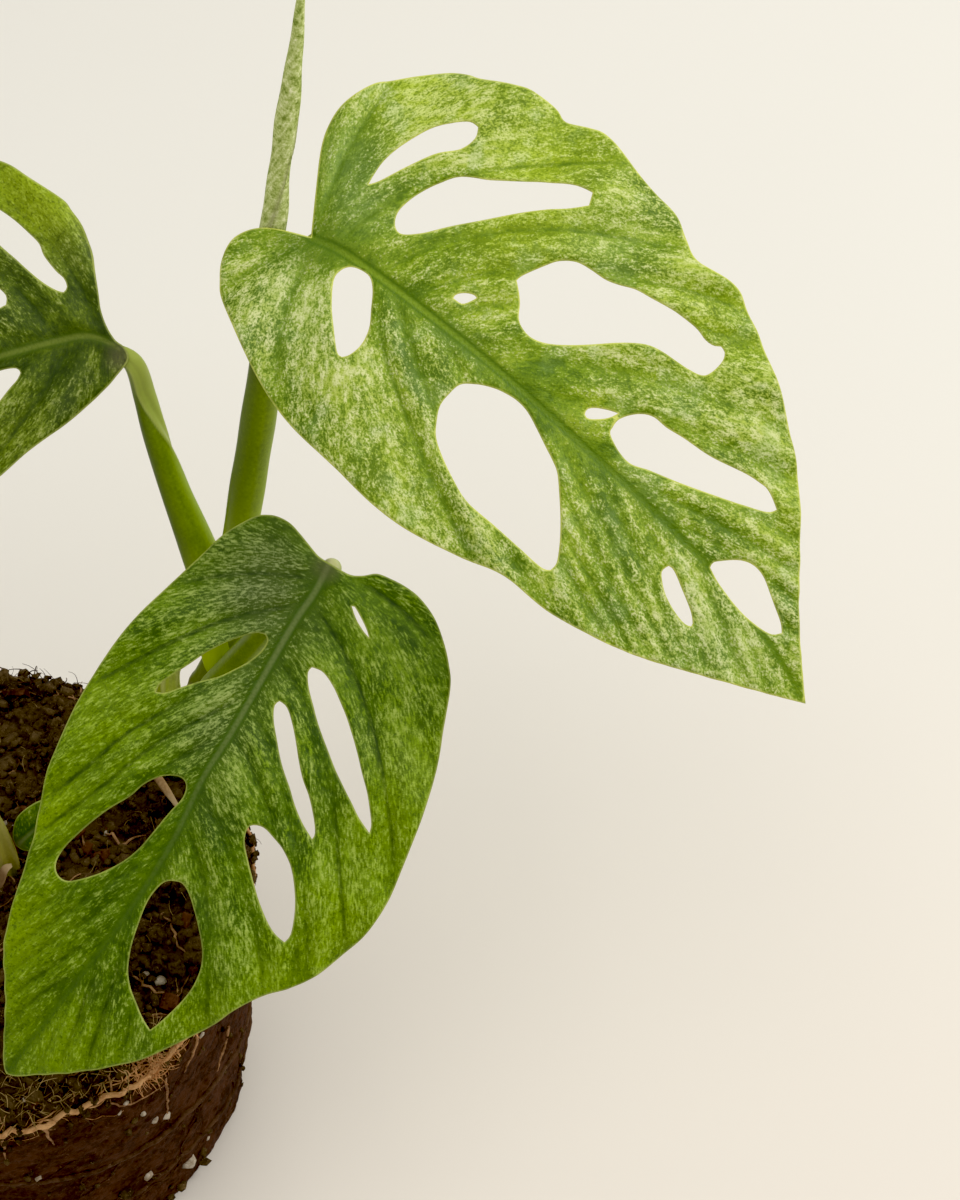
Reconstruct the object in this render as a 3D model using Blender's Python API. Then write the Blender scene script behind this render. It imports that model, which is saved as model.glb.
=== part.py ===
"""Young Monstera adansonii with a bare root ball.

Three pierced leaves and one rolled new leaf stand on a short stem that leans out of a
pot-shaped block of peat. Lengths are in metres. +Z is up and the origin is the centre of
the flat base of the root ball. Each leaf is drawn in its own flat frame, whose origin is
the end of the leaf stalk, +y runs to the leaf tip and +z out of the upper face.
"""
import math

import bmesh
import bpy
from mathutils import Vector, geometry, noise

MM = 0.001

# Root ball, as a 12 cm nursery pot leaves it.
BALL_TOP_RADIUS = 57.5 * MM
BALL_BASE_RADIUS = 50 * MM
BALL_HEIGHT = 76 * MM
BALL_SHOULDER = 4.5 * MM
BALL_FOOT = 3 * MM
BALL_SIDES = 40
SOIL_RELIEF = 2.6 * MM
WALL_RELIEF = 1.0 * MM
RELIEF_SIZE = 17 * MM
# At the back, where peat has crumbled off, the rim stands in and lies lower.
CRUMBLE_IN = 5 * MM
CRUMBLE_DOWN = 4.5 * MM
WALL_TOP = BALL_HEIGHT - BALL_SHOULDER - CRUMBLE_DOWN
# How far the rim leans in for each unit of height above the wall.
RIM_LEAN = 0.09
WALL_ROWS = 7
SOIL_ROWS = 7

# Clearance between neighbouring pieces.
GAP = 0.3 * MM

# Stems and stalks: centre-line points from the lower end up, in millimetres, then the
# radius at each point. A stalk ends in a knee under its blade, whose points are given as
# the distance along the midrib, the depth below the seat and the shift off the midrib, and
# have the last radii.
STEM_SIDES = 12
MAIN_STEM = [(37.5, 30, 50), (39.8, 28.5, 76), (43, 27.3, 88), (47.4, 26, 101), (53, 26, 115.5),
             (55.5, 27.5, 126)]
MAIN_STEM_RADII = [3.4, 3.8, 3.9, 4.0, 3.9, 3.5]
STALK_UPPER = [(54.6, 26.9, 123), (56.8, 30, 137), (58.8, 33.6, 149), (62.8, 38, 171), (64.6, 42, 186),
               (66.6, 46, 195)]
STALK_UPPER_RADII = [3.4, 3.4, 3.3, 3.2, 2.6, 2.1, 1.8, 1.4]
KNEE_UPPER = [(0.4, 0.7, 0), (5.5, 0, 0)]
STALK_LEFT = [(52.4, 25.2, 116), (51.9, 29.4, 127), (48, 35.5, 137), (44, 41.6, 147), (41.2, 46.3, 156),
              (39.6, 50, 162)]
STALK_LEFT_RADII = [3.6, 4.0, 4.0, 3.5, 2.8, 2.3, 1.9, 1.4]
KNEE_LEFT = [(-0.4, 0.8, -1.4), (4.5, 0, -1.6)]
STALK_FRONT = [(46.2, 24.4, 99), (50, 21, 110), (56, 18.6, 123), (63, 16.2, 137),
               (69.6, 14.4, 149), (73.4, 13.4, 155.6)]
STALK_FRONT_RADII = [2.8, 2.9, 2.6, 2.3, 2.0, 1.8, 1.6, 1.5, 1.45, 1.4, 1.3]
KNEE_FRONT = [(0.8, 3.8, 0), (0.1, 2.2, 0), (0.75, 0.6, 0), (2.3, 0, 0), (5.5, 0, 0)]
OLD_SHEATH = [(43.6, 26, 90), (40.4, 27.6, 98), (40.3, 29.4, 105), (43, 31.2, 111), (45.5, 33, 117)]
OLD_SHEATH_RADII = [2.4, 2.5, 2.4, 2.0, 0.8]
SIDE_SHOOT = [(8, 1, 56), (7.6, 2, 76), (6.8, 3, 85), (6, 4, 91), (6.4, 4.6, 96)]
SIDE_SHOOT_RADII = [2.2, 2.6, 2.4, 1.8, 0.7]

# New leaf, rolled into a spike that stands on the sheath of the upper stalk.
ROLLED_LEAF = [(61.6, 43.6, 179), (63.4, 47, 189), (66.1, 51.6, 205), (68.9, 56.2, 223), (71.5, 59.4, 238),
               (73.3, 62, 251)]
ROLLED_LEAF_RADII = [1.5, 1.9, 2.15, 2.05, 1.55, 0.5]
ROLLED_LEAF_SIDES = 12
ROLL_STEP = 0.22
ROLL_TURNS = 0.8

# Blades.
BLADE_THICKNESS = 0.8 * MM
RIB_DEPTH = 1.0 * MM
RIB_HALF_WIDTH = 1.5 * MM
RIB_START = 8 * MM
MARGIN_STEP = 4.6 * MM
HOLE_STEP = 3.8 * MM
FILL_STEP = 6.2 * MM

# Roots on the ball: start angle, end angle, start height, end height, waves, radius.
ROOTS = [
    (-158, 28, 73, 72, 0, 0.75),
    (-95, 5, 52, 28, 2, 0.65),
    (20, 150, 60, 42, 2, 0.7),
    (95, 215, 32, 18, 2, 0.65),
    (165, 262, 62, 46, 2, 0.65),
    (-60, 70, 22, 11, 2, 0.6),
]
ROOT_SIDES = 6
ROOT_WAVE = 2.2 * MM


class Leaf:
    """One blade: where it hangs, how it bends and what its outline is, in millimetres."""

    def __init__(self, joint, tip, facing, arch, fold, droop, wave, midrib, margin, holes):
        self.joint = Vector(joint) * MM
        along = Vector(tip) * MM - self.joint
        self.length = along.length
        self.along = along.normalized()
        facing = Vector(facing)
        self.up = (facing - self.along * facing.dot(self.along)).normalized()
        self.across = self.along.cross(self.up)
        self.arch, self.wave = arch * MM, wave * MM
        self.fold, self.droop = fold, droop / MM
        self.midrib = [Vector(point) * MM for point in midrib]
        self.margin = [Vector(point) * MM for point in margin]
        self.holes = holes

    def midrib_x(self, y):
        """Sideways place of the midrib at the distance y from the joint."""
        points = self.midrib
        for before, after in zip(points, points[1:]):
            if y <= after.y:
                break
        share = min(max((y - before.y) / (after.y - before.y), 0), 1)
        share = share * share * (3 - 2 * share) * 0.5 + share * 0.5
        return before.x + (after.x - before.x) * share

    def height(self, x, y):
        """Height of the bent blade over its flat frame."""
        part = y / self.length
        side = abs(x)
        ripple = math.sin(part * 5 * math.tau + (0.8 if x > 0 else 0)) * (side / (40 * MM)) ** 2
        return self.arch * 4 * part * (1 - part) + self.fold * side - self.droop * side ** 2 + self.wave * ripple

    def place(self, x, y, z):
        return self.joint + self.across * x + self.along * y + self.up * z


# A hole is (inner end, outer end, width, bow, egg). Bow shifts its middle sideways, to the
# left of the way from the inner to the outer end. Egg above zero makes the outer half the
# fuller one, below zero the inner half.
UPPER_LEAF = Leaf(
    joint=(73, 47, 206), tip=(158, -16, 156.5), facing=(0.07, -0.55, 0.83),
    arch=7, fold=0.10, droop=0.004, wave=1.4,
    midrib=[(0, 0), (-3.4, 9), (-5.6, 38), (-4.4, 62), (-2.6, 90), (0, 117)],
    margin=[(0, -0.6), (-6.5, -5.6), (-13, -10.6), (-19.5, -13.2), (-27, -11.5), (-35.5, -5.8), (-42.5, 3.4),
            (-46, 11), (-45.4, 16.8), (-48, 21.5), (-48.6, 27), (-46.6, 37), (-46, 44), (-43, 49.5),
            (-44.2, 56.5), (-42, 64), (-38.8, 70.5), (-33.3, 80.8), (-22.2, 94), (-9, 106.6), (0, 117),
            (4.2, 108.5), (13.6, 92), (18.6, 77), (20.8, 61), (25.6, 48), (26.8, 37), (26.2, 21),
            (24, 8.5), (20.4, 0), (14.5, -8), (8.5, -10.2), (4, -7.6)],
    holes=[((-13, 0.6), (-34.2, 7), 4.8, 1.6, 0.2), ((-10.4, 9.4), (-39.3, 30.2), 7.2, 3.0, -0.3),
           ((-13.6, 34.2), (-33.4, 66), 13.6, 3.4, -0.35), ((-11, 60.6), (-20.6, 90.2), 7.6, 1.0, -0.4),
           ((-5.4, 88.4), (-5.6, 105.4), 6.4, 1.2, 0), ((-1.6, 8), (12.2, 19), 7.6, 0, 0),
           ((3.4, 35), (14.6, 69.6), 15.8, 0, -0.3), ((0.2, 83), (4.4, 93.4), 2.9, -0.4, 0),
           ((-8.2, 25.4), (-11.3, 27.6), 1.8, 0, 0), ((-9.1, 55), (-13.3, 59), 1.9, 0, 0)],
)
FRONT_LEAF = Leaf(
    joint=(75, 9, 163), tip=(16, -55, 96), facing=(-0.12, -0.66, 0.74),
    arch=8, fold=0.12, droop=0.005, wave=0.8,
    midrib=[(0, 0), (-0.8, 8), (-1.6, 30), (-3.9, 57), (-2.4, 80), (0, 110)],
    margin=[(0, -0.6), (5, -1.4), (10, -2.5), (15.2, -1), (18.3, 4), (20, 12), (23.4, 27), (24, 38),
            (22.5, 52), (17.4, 67), (14, 82.5), (7, 97), (0, 110), (-13.2, 99.5), (-22.3, 88),
            (-28.5, 76.5), (-37.9, 61), (-41.5, 47), (-38.9, 30), (-34, 16), (-29.8, 6.2), (-23.6, -0.6),
            (-16.5, -4), (-9.4, -4), (-4.6, -1.2)],
    holes=[((1.8, 15.8), (13, 34.4), 4.8, 0.4, 0.1), ((0, 44.4), (9.8, 71.9), 9.2, 0, 0.1),
           ((-7.8, 15.6), (-32, 34.9), 5.2, 0, -0.3), ((-6.2, 23.8), (-24.5, 41.1), 4.0, 0.3, 0),
           ((-13.5, 44.8), (-30.3, 59.4), 7.0, 1.0, -0.05), ((-8.2, 59.8), (-18.4, 86.7), 13.2, 0, 0.05),
           ((-7.4, 3.2), (-13.3, 6.4), 1.2, 0, 0)],
)
LEFT_LEAF = Leaf(
    joint=(37, 50, 173), tip=(-60.6, 37.7, 141.3), facing=(-0.16, -0.64, 0.75),
    arch=7, fold=0.10, droop=0.004, wave=1.2,
    midrib=[(0, 0), (5.9, 7), (6.9, 21), (6.3, 42), (3.6, 72), (0, 103.4)],
    margin=[(0, -0.6), (6.6, 1.6), (13, 1.2), (19, 0.6), (25.5, 1), (34.5, 5.2), (41.4, 12), (46, 21),
            (46.4, 28), (48, 35), (46.2, 46), (43.2, 52.5), (42.6, 60), (37, 70), (27, 82), (13, 93),
            (0, 103.4), (-4.6, 96), (-13.4, 82), (-19.2, 66), (-20.6, 52), (-18.8, 39), (-14.6, 27.4),
            (-8.9, 13.5), (-3.7, 5.4)],
    holes=[((14.2, 6.6), (38.4, 22.5), 5.2, -1.0, 0), ((16.2, 18.2), (37.6, 46), 8.6, -2.4, -0.2),
           ((14, 40.5), (31, 67.5), 9.0, -1.6, -0.3), ((11, 62), (18.8, 85), 6.0, -0.6, -0.2),
           ((3.2, 18.2), (-8.6, 33.5), 5.6, 0, 0.1), ((3, 40), (-11.6, 67), 11.0, 0, -0.2),
           ((3.2, 74), (-3, 89.5), 3.6, 0, 0)],
)
SMALL_LEAF = Leaf(
    joint=(10.1, 3, 82), tip=(23.5, 8, 94), facing=(-0.3, -0.75, 0.6),
    arch=2.2, fold=0.25, droop=0.012, wave=0,
    midrib=[(0, 0), (0, 10), (0, 19.4)],
    margin=[(0, 0), (2, 1.6), (4, 6), (3.8, 11), (2, 16), (0, 19.4), (-2, 16), (-3.8, 11), (-4, 6),
            (-2, 1.6)],
    holes=[],
)
SHARP_TURN = math.radians(62)


def clear_scene():
    for thing in list(bpy.data.objects):
        bpy.data.objects.remove(thing, do_unlink=True)


def material(name, colour, roughness):
    made = bpy.data.materials.new(name)
    made.use_nodes = True
    shader = made.node_tree.nodes["Principled BSDF"]
    shader.inputs["Base Color"].default_value = (*colour, 1)
    shader.inputs["Roughness"].default_value = roughness
    shader.inputs["Metallic"].default_value = 0
    return made


def new_object(name, bm, finish, smooth_angle=math.radians(50)):
    """Put a finished mesh into the scene as one named piece."""
    bmesh.ops.recalc_face_normals(bm, faces=bm.faces)
    mesh = bpy.data.meshes.new(name)
    bm.to_mesh(mesh)
    bm.free()
    mesh.materials.append(finish)
    mesh.shade_smooth()
    mesh.set_sharp_from_angle(angle=smooth_angle)
    piece = bpy.data.objects.new(name, mesh)
    bpy.context.collection.objects.link(piece)
    return piece


def curve_point(points, place, closed):
    """Point of a Catmull-Rom curve through the points; place counts in points."""
    count = len(points)
    first = math.floor(place)
    share = place - first
    picked = []
    for step in (-1, 0, 1, 2):
        index = first + step
        picked.append(points[index % count] if closed else points[min(max(index, 0), count - 1)])
    a, b, c, d = picked
    return 0.5 * (2 * b + (c - a) * share + (2 * a - 5 * b + 4 * c - d) * share ** 2
                  + (3 * b - a - 3 * c + d) * share ** 3)


def smooth_path(points, steps_between):
    """Open curve through the points, with a fixed number of steps between each two."""
    total = (len(points) - 1) * steps_between
    return [curve_point(points, index / steps_between, False) for index in range(total + 1)]


def smooth_outline(points, step):
    """Closed outline through the points, even in step, with sharp corners kept sharp."""
    count = len(points)
    corners = []
    for index, point in enumerate(points):
        arriving = point - points[index - 1]
        leaving = points[(index + 1) % count] - point
        if arriving.angle(leaving) > SHARP_TURN:
            corners.append(index)
    outline = []
    for start, stop in zip(corners, corners[1:] + [corners[0] + count]):
        run = [points[index % count] for index in range(start, stop + 1)]
        fine = smooth_path(run, 8)
        lengths = [0]
        for before, after in zip(fine, fine[1:]):
            lengths.append(lengths[-1] + (after - before).length)
        pieces = max(round(lengths[-1] / step), 1)
        place = 0
        for piece in range(pieces):
            wanted = lengths[-1] * piece / pieces
            while lengths[place + 1] < wanted:
                place += 1
            share = (wanted - lengths[place]) / (lengths[place + 1] - lengths[place])
            outline.append(fine[place].lerp(fine[place + 1], share))
    return outline


def hole_outline(hole, step):
    """Egg-shaped outline of one leaf hole."""
    inner, outer, width, bow, egg = hole
    inner, outer = Vector(inner) * MM, Vector(outer) * MM
    along = outer - inner
    left = Vector((-along.y, along.x)).normalized()
    around = 2 * along.length + 1.2 * width * MM
    count = max(round(around / step), 8)
    outline = []
    for index in range(count):
        turn = math.tau * index / count
        share = (1 - math.cos(turn)) / 2
        half = width * MM / 2 * math.sin(turn) * (1 - egg * math.cos(turn))
        outline.append(inner + along * share + left * (half + bow * MM * 4 * share * (1 - share)))
    return outline


def inside(point, outline):
    """Whether a point lies within a closed outline."""
    found = False
    for before, after in zip(outline, outline[1:] + outline[:1]):
        if (before.y > point.y) != (after.y > point.y):
            crossing = before.x + (point.y - before.y) / (after.y - before.y) * (after.x - before.x)
            if point.x < crossing:
                found = not found
    return found


def distance_to(point, outline):
    """Least distance from a point to a closed outline."""
    least = math.inf
    for before, after in zip(outline, outline[1:] + outline[:1]):
        nearest, share = geometry.intersect_point_line(point, before, after)
        nearest = before.lerp(after, min(max(share, 0), 1))
        least = min(least, (point - nearest.xy).length)
    return least


def blade(name, leaf, finish, margin_step=MARGIN_STEP, fill_step=FILL_STEP):
    """Bent plate with the leaf's outline and holes and a rib under its midrib."""
    outlines = [smooth_outline(leaf.margin, margin_step)]
    outlines += [hole_outline(hole, HOLE_STEP) for hole in leaf.holes]
    points, edges = [], []
    for outline in outlines:
        first = len(points)
        points += outline
        edges += [(first + index, first + (index + 1) % len(outline)) for index in range(len(outline))]

    def add_inner(point, room):
        if inside(point, outlines[0]) and not any(inside(point, hole) for hole in outlines[1:]):
            if min(distance_to(point, outline) for outline in outlines) > room:
                points.append(point)

    rows = round(leaf.length / fill_step)
    for row in range(1, rows):
        y = leaf.length * row / rows
        middle = leaf.midrib_x(y)
        for offset in (-RIB_HALF_WIDTH, 0, RIB_HALF_WIDTH):
            add_inner(Vector((middle + offset, y)), RIB_HALF_WIDTH / 2)
        for column in range(1, 10):
            shift = (column - 0.5 * (row % 2)) * fill_step + RIB_HALF_WIDTH
            for side in (-1, 1):
                add_inner(Vector((middle + side * shift, y)), fill_step * 0.45)
    for row in (-1, -2):
        for column in range(-6, 7):
            add_inner(Vector((column * fill_step, row * fill_step)), fill_step * 0.45)

    flat, _, faces, _, _, _ = geometry.delaunay_2d_cdt(points, edges, [], 0, 1e-7)
    kept = []
    for face in faces:
        middle = sum((flat[index] for index in face), Vector((0, 0))) / len(face)
        if inside(middle, outlines[0]) and not any(inside(middle, hole) for hole in outlines[1:]):
            kept.append(face)

    bm = bmesh.new()
    tops, unders = {}, {}
    for index in {index for face in kept for index in face}:
        x, y = flat[index]
        height = leaf.height(x, y)
        off_rib = abs(x - leaf.midrib_x(y)) / RIB_HALF_WIDTH
        rib = RIB_DEPTH * max(1 - off_rib, 0) * min(max((y - RIB_START) / RIB_START, 0), 1) * (1 - y / leaf.length)
        tops[index] = bm.verts.new(leaf.place(x, y, height + BLADE_THICKNESS / 2))
        unders[index] = bm.verts.new(leaf.place(x, y, height - BLADE_THICKNESS / 2 - rib))
    used = {}
    for face in kept:
        bm.faces.new([tops[index] for index in face])
        bm.faces.new([unders[index] for index in reversed(face)])
        for before, after in zip(face, face[1:] + face[:1]):
            used[(before, after)] = True
    for before, after in used:
        if (after, before) not in used:
            bm.faces.new((tops[after], tops[before], unders[before]))
            bm.faces.new((tops[after], unders[before], unders[after]))
    return new_object(name, bm, finish)


def tube_mesh(path, radii, sides, section=None):
    """Closed tube along a path. section(turn, share) scales the radius round and along it."""
    bm = bmesh.new()
    rings = []
    heading = (path[1] - path[0]).normalized()
    side = heading.cross(Vector((0, 1, 0))).normalized()
    for index, (centre, radius) in enumerate(zip(path, radii)):
        before, after = path[max(index - 1, 0)], path[min(index + 1, len(path) - 1)]
        heading = (after - before).normalized()
        side = (side - heading * side.dot(heading)).normalized()
        other = heading.cross(side)
        ring = []
        for corner in range(sides):
            turn = math.tau * corner / sides
            scale = section(turn, index / (len(path) - 1)) if section else 1
            offset = side * math.cos(turn) + other * math.sin(turn)
            ring.append(bm.verts.new(centre + offset * radius * scale))
        rings.append(ring)
    for lower, upper in zip(rings, rings[1:]):
        for corner in range(sides):
            following = (corner + 1) % sides
            bm.faces.new((lower[corner], lower[following], upper[following], upper[corner]))
    bm.faces.new(list(reversed(rings[0])))
    bm.faces.new(rings[-1])
    bmesh.ops.triangulate(bm, faces=bm.faces)
    return bm


def stem(name, points, radii, finish, sides=STEM_SIDES, widen=0.0, steps=3, section=None):
    """Tapered stem through points in millimetres, wider and longer all round by widen."""
    path = smooth_path([Vector(point) * MM for point in points], steps)
    path[0] += (path[0] - path[1]).normalized() * widen
    path[-1] += (path[-1] - path[-2]).normalized() * widen
    widths = smooth_path([Vector((radius, 0)) * MM for radius in radii], steps)
    bm = tube_mesh(path, [width.x + widen for width in widths], sides, section)
    return new_object(name, bm, finish)


def stalk_line(points, knee, radii, leaf):
    """Centre line of a stalk, in millimetres, that bends over under its blade's base."""
    points = list(points)
    for (distance, depth, shift), radius in zip(knee, radii[-len(knee):]):
        y = distance * MM
        x = leaf.midrib_x(y) + shift * MM
        under = leaf.height(x, y) - BLADE_THICKNESS / 2 - 2 * GAP - (radius + depth) * MM
        points.append(tuple(leaf.place(x, y, under) / MM))
    return points


def cut_away(piece, points, radii, finish):
    """Cut the room of a neighbouring stem, gap included, out of a piece."""
    cutter = stem(piece.name + "_room", points, radii, finish, sides=16, widen=GAP)
    cutter.hide_render = True
    cutter.display_type = "WIRE"
    cut = piece.modifiers.new("room", "BOOLEAN")
    cut.operation = "DIFFERENCE"
    cut.solver = "EXACT"
    cut.object = cutter


def relief(point):
    """Lumps of the peat at a place, from -1 to 1."""
    return noise.noise(point / RELIEF_SIZE) + 0.35 * noise.noise(point / RELIEF_SIZE * 2.7)


def crumbled(angle):
    """Share of the full crumbling at an angle round the ball: one at the back."""
    return max(math.sin(angle), 0) ** 2


def wall_radius(angle, height):
    """Radius of the ball's wall, below its shoulder."""
    share = height / BALL_HEIGHT
    plain = BALL_BASE_RADIUS + (BALL_TOP_RADIUS - BALL_BASE_RADIUS) * share
    plain -= CRUMBLE_IN * crumbled(angle) * share ** 3
    spot = Vector((plain * math.cos(angle), plain * math.sin(angle), height))
    return plain + WALL_RELIEF * relief(spot)


def soil_height(x, y):
    """Height of the soil's upper face."""
    out = math.hypot(x, y)
    fade = min(max((BALL_TOP_RADIUS - out) / (3 * BALL_SHOULDER), 0), 1)
    fallen = CRUMBLE_DOWN * crumbled(math.atan2(y, x)) * (out / BALL_TOP_RADIUS) ** 4
    return BALL_HEIGHT + SOIL_RELIEF * fade * relief(Vector((x, y, BALL_HEIGHT))) - fallen


def root_ball(finish):
    """Pot-shaped block of peat with a flat base and a lumpy upper face."""
    rings = []

    def add_ring(radius_at, height_at):
        ring = []
        for corner in range(BALL_SIDES):
            angle = math.tau * corner / BALL_SIDES
            radius = radius_at(angle)
            x, y = radius * math.cos(angle), radius * math.sin(angle)
            ring.append(bm.verts.new((x, y, height_at(x, y))))
        rings.append(ring)

    bm = bmesh.new()
    flat_radius = BALL_BASE_RADIUS - BALL_FOOT
    add_ring(lambda angle: flat_radius * 0.55, lambda x, y: 0)
    add_ring(lambda angle: flat_radius, lambda x, y: 0)
    for turn in (math.radians(45), math.radians(90)):
        rise = BALL_FOOT * (1 - math.cos(turn))
        inset = BALL_FOOT * (1 - math.sin(turn))
        add_ring(lambda angle: wall_radius(angle, rise) - inset, lambda x, y: rise)
    for row in range(1, WALL_ROWS + 1):
        level = BALL_FOOT + (WALL_TOP - BALL_FOOT) * row / WALL_ROWS
        add_ring(lambda angle: wall_radius(angle, level), lambda x, y: level)
    for turn in (math.radians(30), math.radians(60), math.radians(90)):
        drop = BALL_SHOULDER * (1 - math.sin(turn))
        inset = BALL_SHOULDER * (1 - math.cos(turn))
        add_ring(lambda angle: wall_radius(angle, WALL_TOP) - inset, lambda x, y: soil_height(x, y) - drop)
    soil_edge = BALL_TOP_RADIUS - BALL_SHOULDER * 1.1
    for row in range(1, SOIL_ROWS):
        radius = soil_edge * (1 - row / SOIL_ROWS)
        add_ring(lambda angle: radius, soil_height)
    for lower, upper in zip(rings, rings[1:]):
        for corner in range(BALL_SIDES):
            following = (corner + 1) % BALL_SIDES
            bm.faces.new((lower[corner], lower[following], upper[following], upper[corner]))
    for ring, level in ((rings[0], 0), (rings[-1], soil_height(0, 0))):
        centre = bm.verts.new((0, 0, level))
        for corner in range(BALL_SIDES):
            bm.faces.new((ring[corner], ring[(corner + 1) % BALL_SIDES], centre))
    bmesh.ops.triangulate(bm, faces=bm.faces)
    return new_object("root_ball", bm, finish)


def root_on_ball(name, root, finish):
    """One root that runs round the outside of the ball, just proud of it."""
    start, stop, low, high, waves, radius = root
    steps = max(round(abs(stop - start) / 5), 8)
    path = []
    for index in range(steps + 1):
        share = index / steps
        angle = math.radians(start + (stop - start) * share)
        level = (low + (high - low) * share) * MM + ROOT_WAVE * math.sin(share * waves * math.tau) * math.sin(
            share * math.pi)
        reach = wall_radius(angle, min(level, WALL_TOP)) - RIM_LEAN * max(level - WALL_TOP, 0)
        reach += radius * MM + 2 * GAP
        path.append(Vector((reach * math.cos(angle), reach * math.sin(angle), level)))
    taper = [radius * MM * (0.55 + 0.45 * math.sin(math.pi * (0.1 + 0.8 * index / steps))) for index in
             range(steps + 1)]
    return new_object(name, tube_mesh(path, taper, ROOT_SIDES), finish)


def rolled_section(turn, share):
    """Cross-section of the rolled leaf: a spiral whose free edge winds up the spike."""
    place = (turn / math.tau - share * ROLL_TURNS) % 1
    return 1 - ROLL_STEP / 2 + ROLL_STEP * place


def build():
    clear_scene()
    peat = material("peat", (0.045, 0.022, 0.013), 0.95)
    root_skin = material("root_skin", (0.42, 0.27, 0.14), 0.8)
    stem_green = material("stem_green", (0.16, 0.24, 0.03), 0.42)
    leaf_light = material("leaf_light", (0.28, 0.42, 0.09), 0.45)
    leaf_dark = material("leaf_dark", (0.10, 0.22, 0.03), 0.4)
    new_growth = material("new_growth", (0.38, 0.46, 0.18), 0.5)
    dry_sheath = material("dry_sheath", (0.38, 0.34, 0.10), 0.6)

    main_stem = stem("main_stem", MAIN_STEM, MAIN_STEM_RADII, stem_green)
    upper_line = stalk_line(STALK_UPPER, KNEE_UPPER, STALK_UPPER_RADII, UPPER_LEAF)
    left_line = stalk_line(STALK_LEFT, KNEE_LEFT, STALK_LEFT_RADII, LEFT_LEAF)
    front_line = stalk_line(STALK_FRONT, KNEE_FRONT, STALK_FRONT_RADII, FRONT_LEAF)
    stalk_upper = stem("stalk_upper", upper_line, STALK_UPPER_RADII, stem_green)
    stalk_left = stem("stalk_left", left_line, STALK_LEFT_RADII, stem_green)
    stalk_front = stem("stalk_front", front_line, STALK_FRONT_RADII, stem_green)
    old_sheath = stem("old_sheath", OLD_SHEATH, OLD_SHEATH_RADII, dry_sheath)
    side_shoot = stem("side_shoot", SIDE_SHOOT, SIDE_SHOOT_RADII, dry_sheath)
    rolled = stem("rolled_leaf", ROLLED_LEAF, ROLLED_LEAF_RADII, new_growth, sides=ROLLED_LEAF_SIDES,
                  steps=5, section=rolled_section)
    for piece in (stalk_upper, stalk_left, stalk_front, old_sheath):
        cut_away(piece, MAIN_STEM, MAIN_STEM_RADII, stem_green)
    for piece in (stalk_left, rolled):
        cut_away(piece, upper_line, STALK_UPPER_RADII, stem_green)
    cut_away(stalk_left, front_line, STALK_FRONT_RADII, stem_green)

    blade("blade_upper", UPPER_LEAF, leaf_light)
    blade("blade_left", LEFT_LEAF, leaf_light)
    blade("blade_front", FRONT_LEAF, leaf_dark)
    blade("blade_small", SMALL_LEAF, leaf_dark, margin_step=2.4 * MM, fill_step=3 * MM)

    ball = root_ball(peat)
    for piece, points, radii in ((main_stem, MAIN_STEM, MAIN_STEM_RADII),
                                 (side_shoot, SIDE_SHOOT, SIDE_SHOOT_RADII)):
        cut_away(ball, points, radii, peat)
    for index, root in enumerate(ROOTS, start=1):
        root_on_ball(f"root_{index}", root, root_skin)


build()
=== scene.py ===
# %% [markdown]
# # A young Monstera adansonii, lifted out of its pot
#
# Three pierced, marbled leaves and one rolled new leaf stand on a short stem that leans out of a
# block of peat. The block has kept the shape of its nursery pot. The solids of the part are loaded
# first and never change. Every step after that dresses one of them: with a finer shape where the
# solid is coarse, and with a finish in any case.

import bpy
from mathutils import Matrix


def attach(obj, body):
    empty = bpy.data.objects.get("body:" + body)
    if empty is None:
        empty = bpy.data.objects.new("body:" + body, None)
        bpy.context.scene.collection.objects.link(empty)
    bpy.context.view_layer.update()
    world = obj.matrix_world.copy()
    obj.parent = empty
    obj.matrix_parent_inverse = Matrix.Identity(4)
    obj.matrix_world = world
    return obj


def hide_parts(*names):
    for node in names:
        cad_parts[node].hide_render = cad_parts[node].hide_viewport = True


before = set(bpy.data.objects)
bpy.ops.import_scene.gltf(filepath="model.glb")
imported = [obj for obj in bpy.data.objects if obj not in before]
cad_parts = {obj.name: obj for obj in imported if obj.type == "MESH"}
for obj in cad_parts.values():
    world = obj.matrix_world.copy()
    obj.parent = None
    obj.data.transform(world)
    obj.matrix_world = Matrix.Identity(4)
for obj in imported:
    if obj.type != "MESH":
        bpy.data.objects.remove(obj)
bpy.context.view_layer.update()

# %% Tools that the later cells use
import math
import random

import bmesh
import bpy
import numpy as np
from mathutils import Vector, bvhtree, geometry, noise

MM = 0.001
print("lengths below are in millimetres unless they say otherwise")

# %% [markdown]
# ## Camera, floor and light
#
# The plant is seen from above, at 52 degrees, through a short telephoto lens. Such a lens keeps the
# near leaf from swelling, which a wide lens close by would do. A camera could also be aimed with a
# constraint, but a fixed place and angle is easier to read and to repeat.

# %% Camera
EYE_PLACE = (0.1018, -0.3037, 0.5536)
LOOK_DOWN = math.radians(52)
bpy.ops.object.camera_add(location=EYE_PLACE, rotation=(math.pi / 2 - LOOK_DOWN, 0, 0))
eye = bpy.context.object
eye.name = "eye"
eye.data.lens = 85
eye.data.sensor_width = 36
eye.data.clip_start = 0.01
bpy.context.scene.camera = eye
print("camera stands", round(eye.location.z, 3), "m above the floor")

# %% [markdown]
# Plant pictures are lit with big soft boxes, so that the leaves have no hard shadows. Four area
# lights stand in for them: one overhead, a brighter one at the right, a wide, weak one at the left
# and one behind, which draws the light rims. A bright surrounding fills the shadows.


# %% Lights
PLANT_MIDDLE = (0.05, 0.02, 0.12)
LAMP_TINT = (1, 0.985, 0.96)
ROOM_TINT = (1, 0.975, 0.94, 1)


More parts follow.
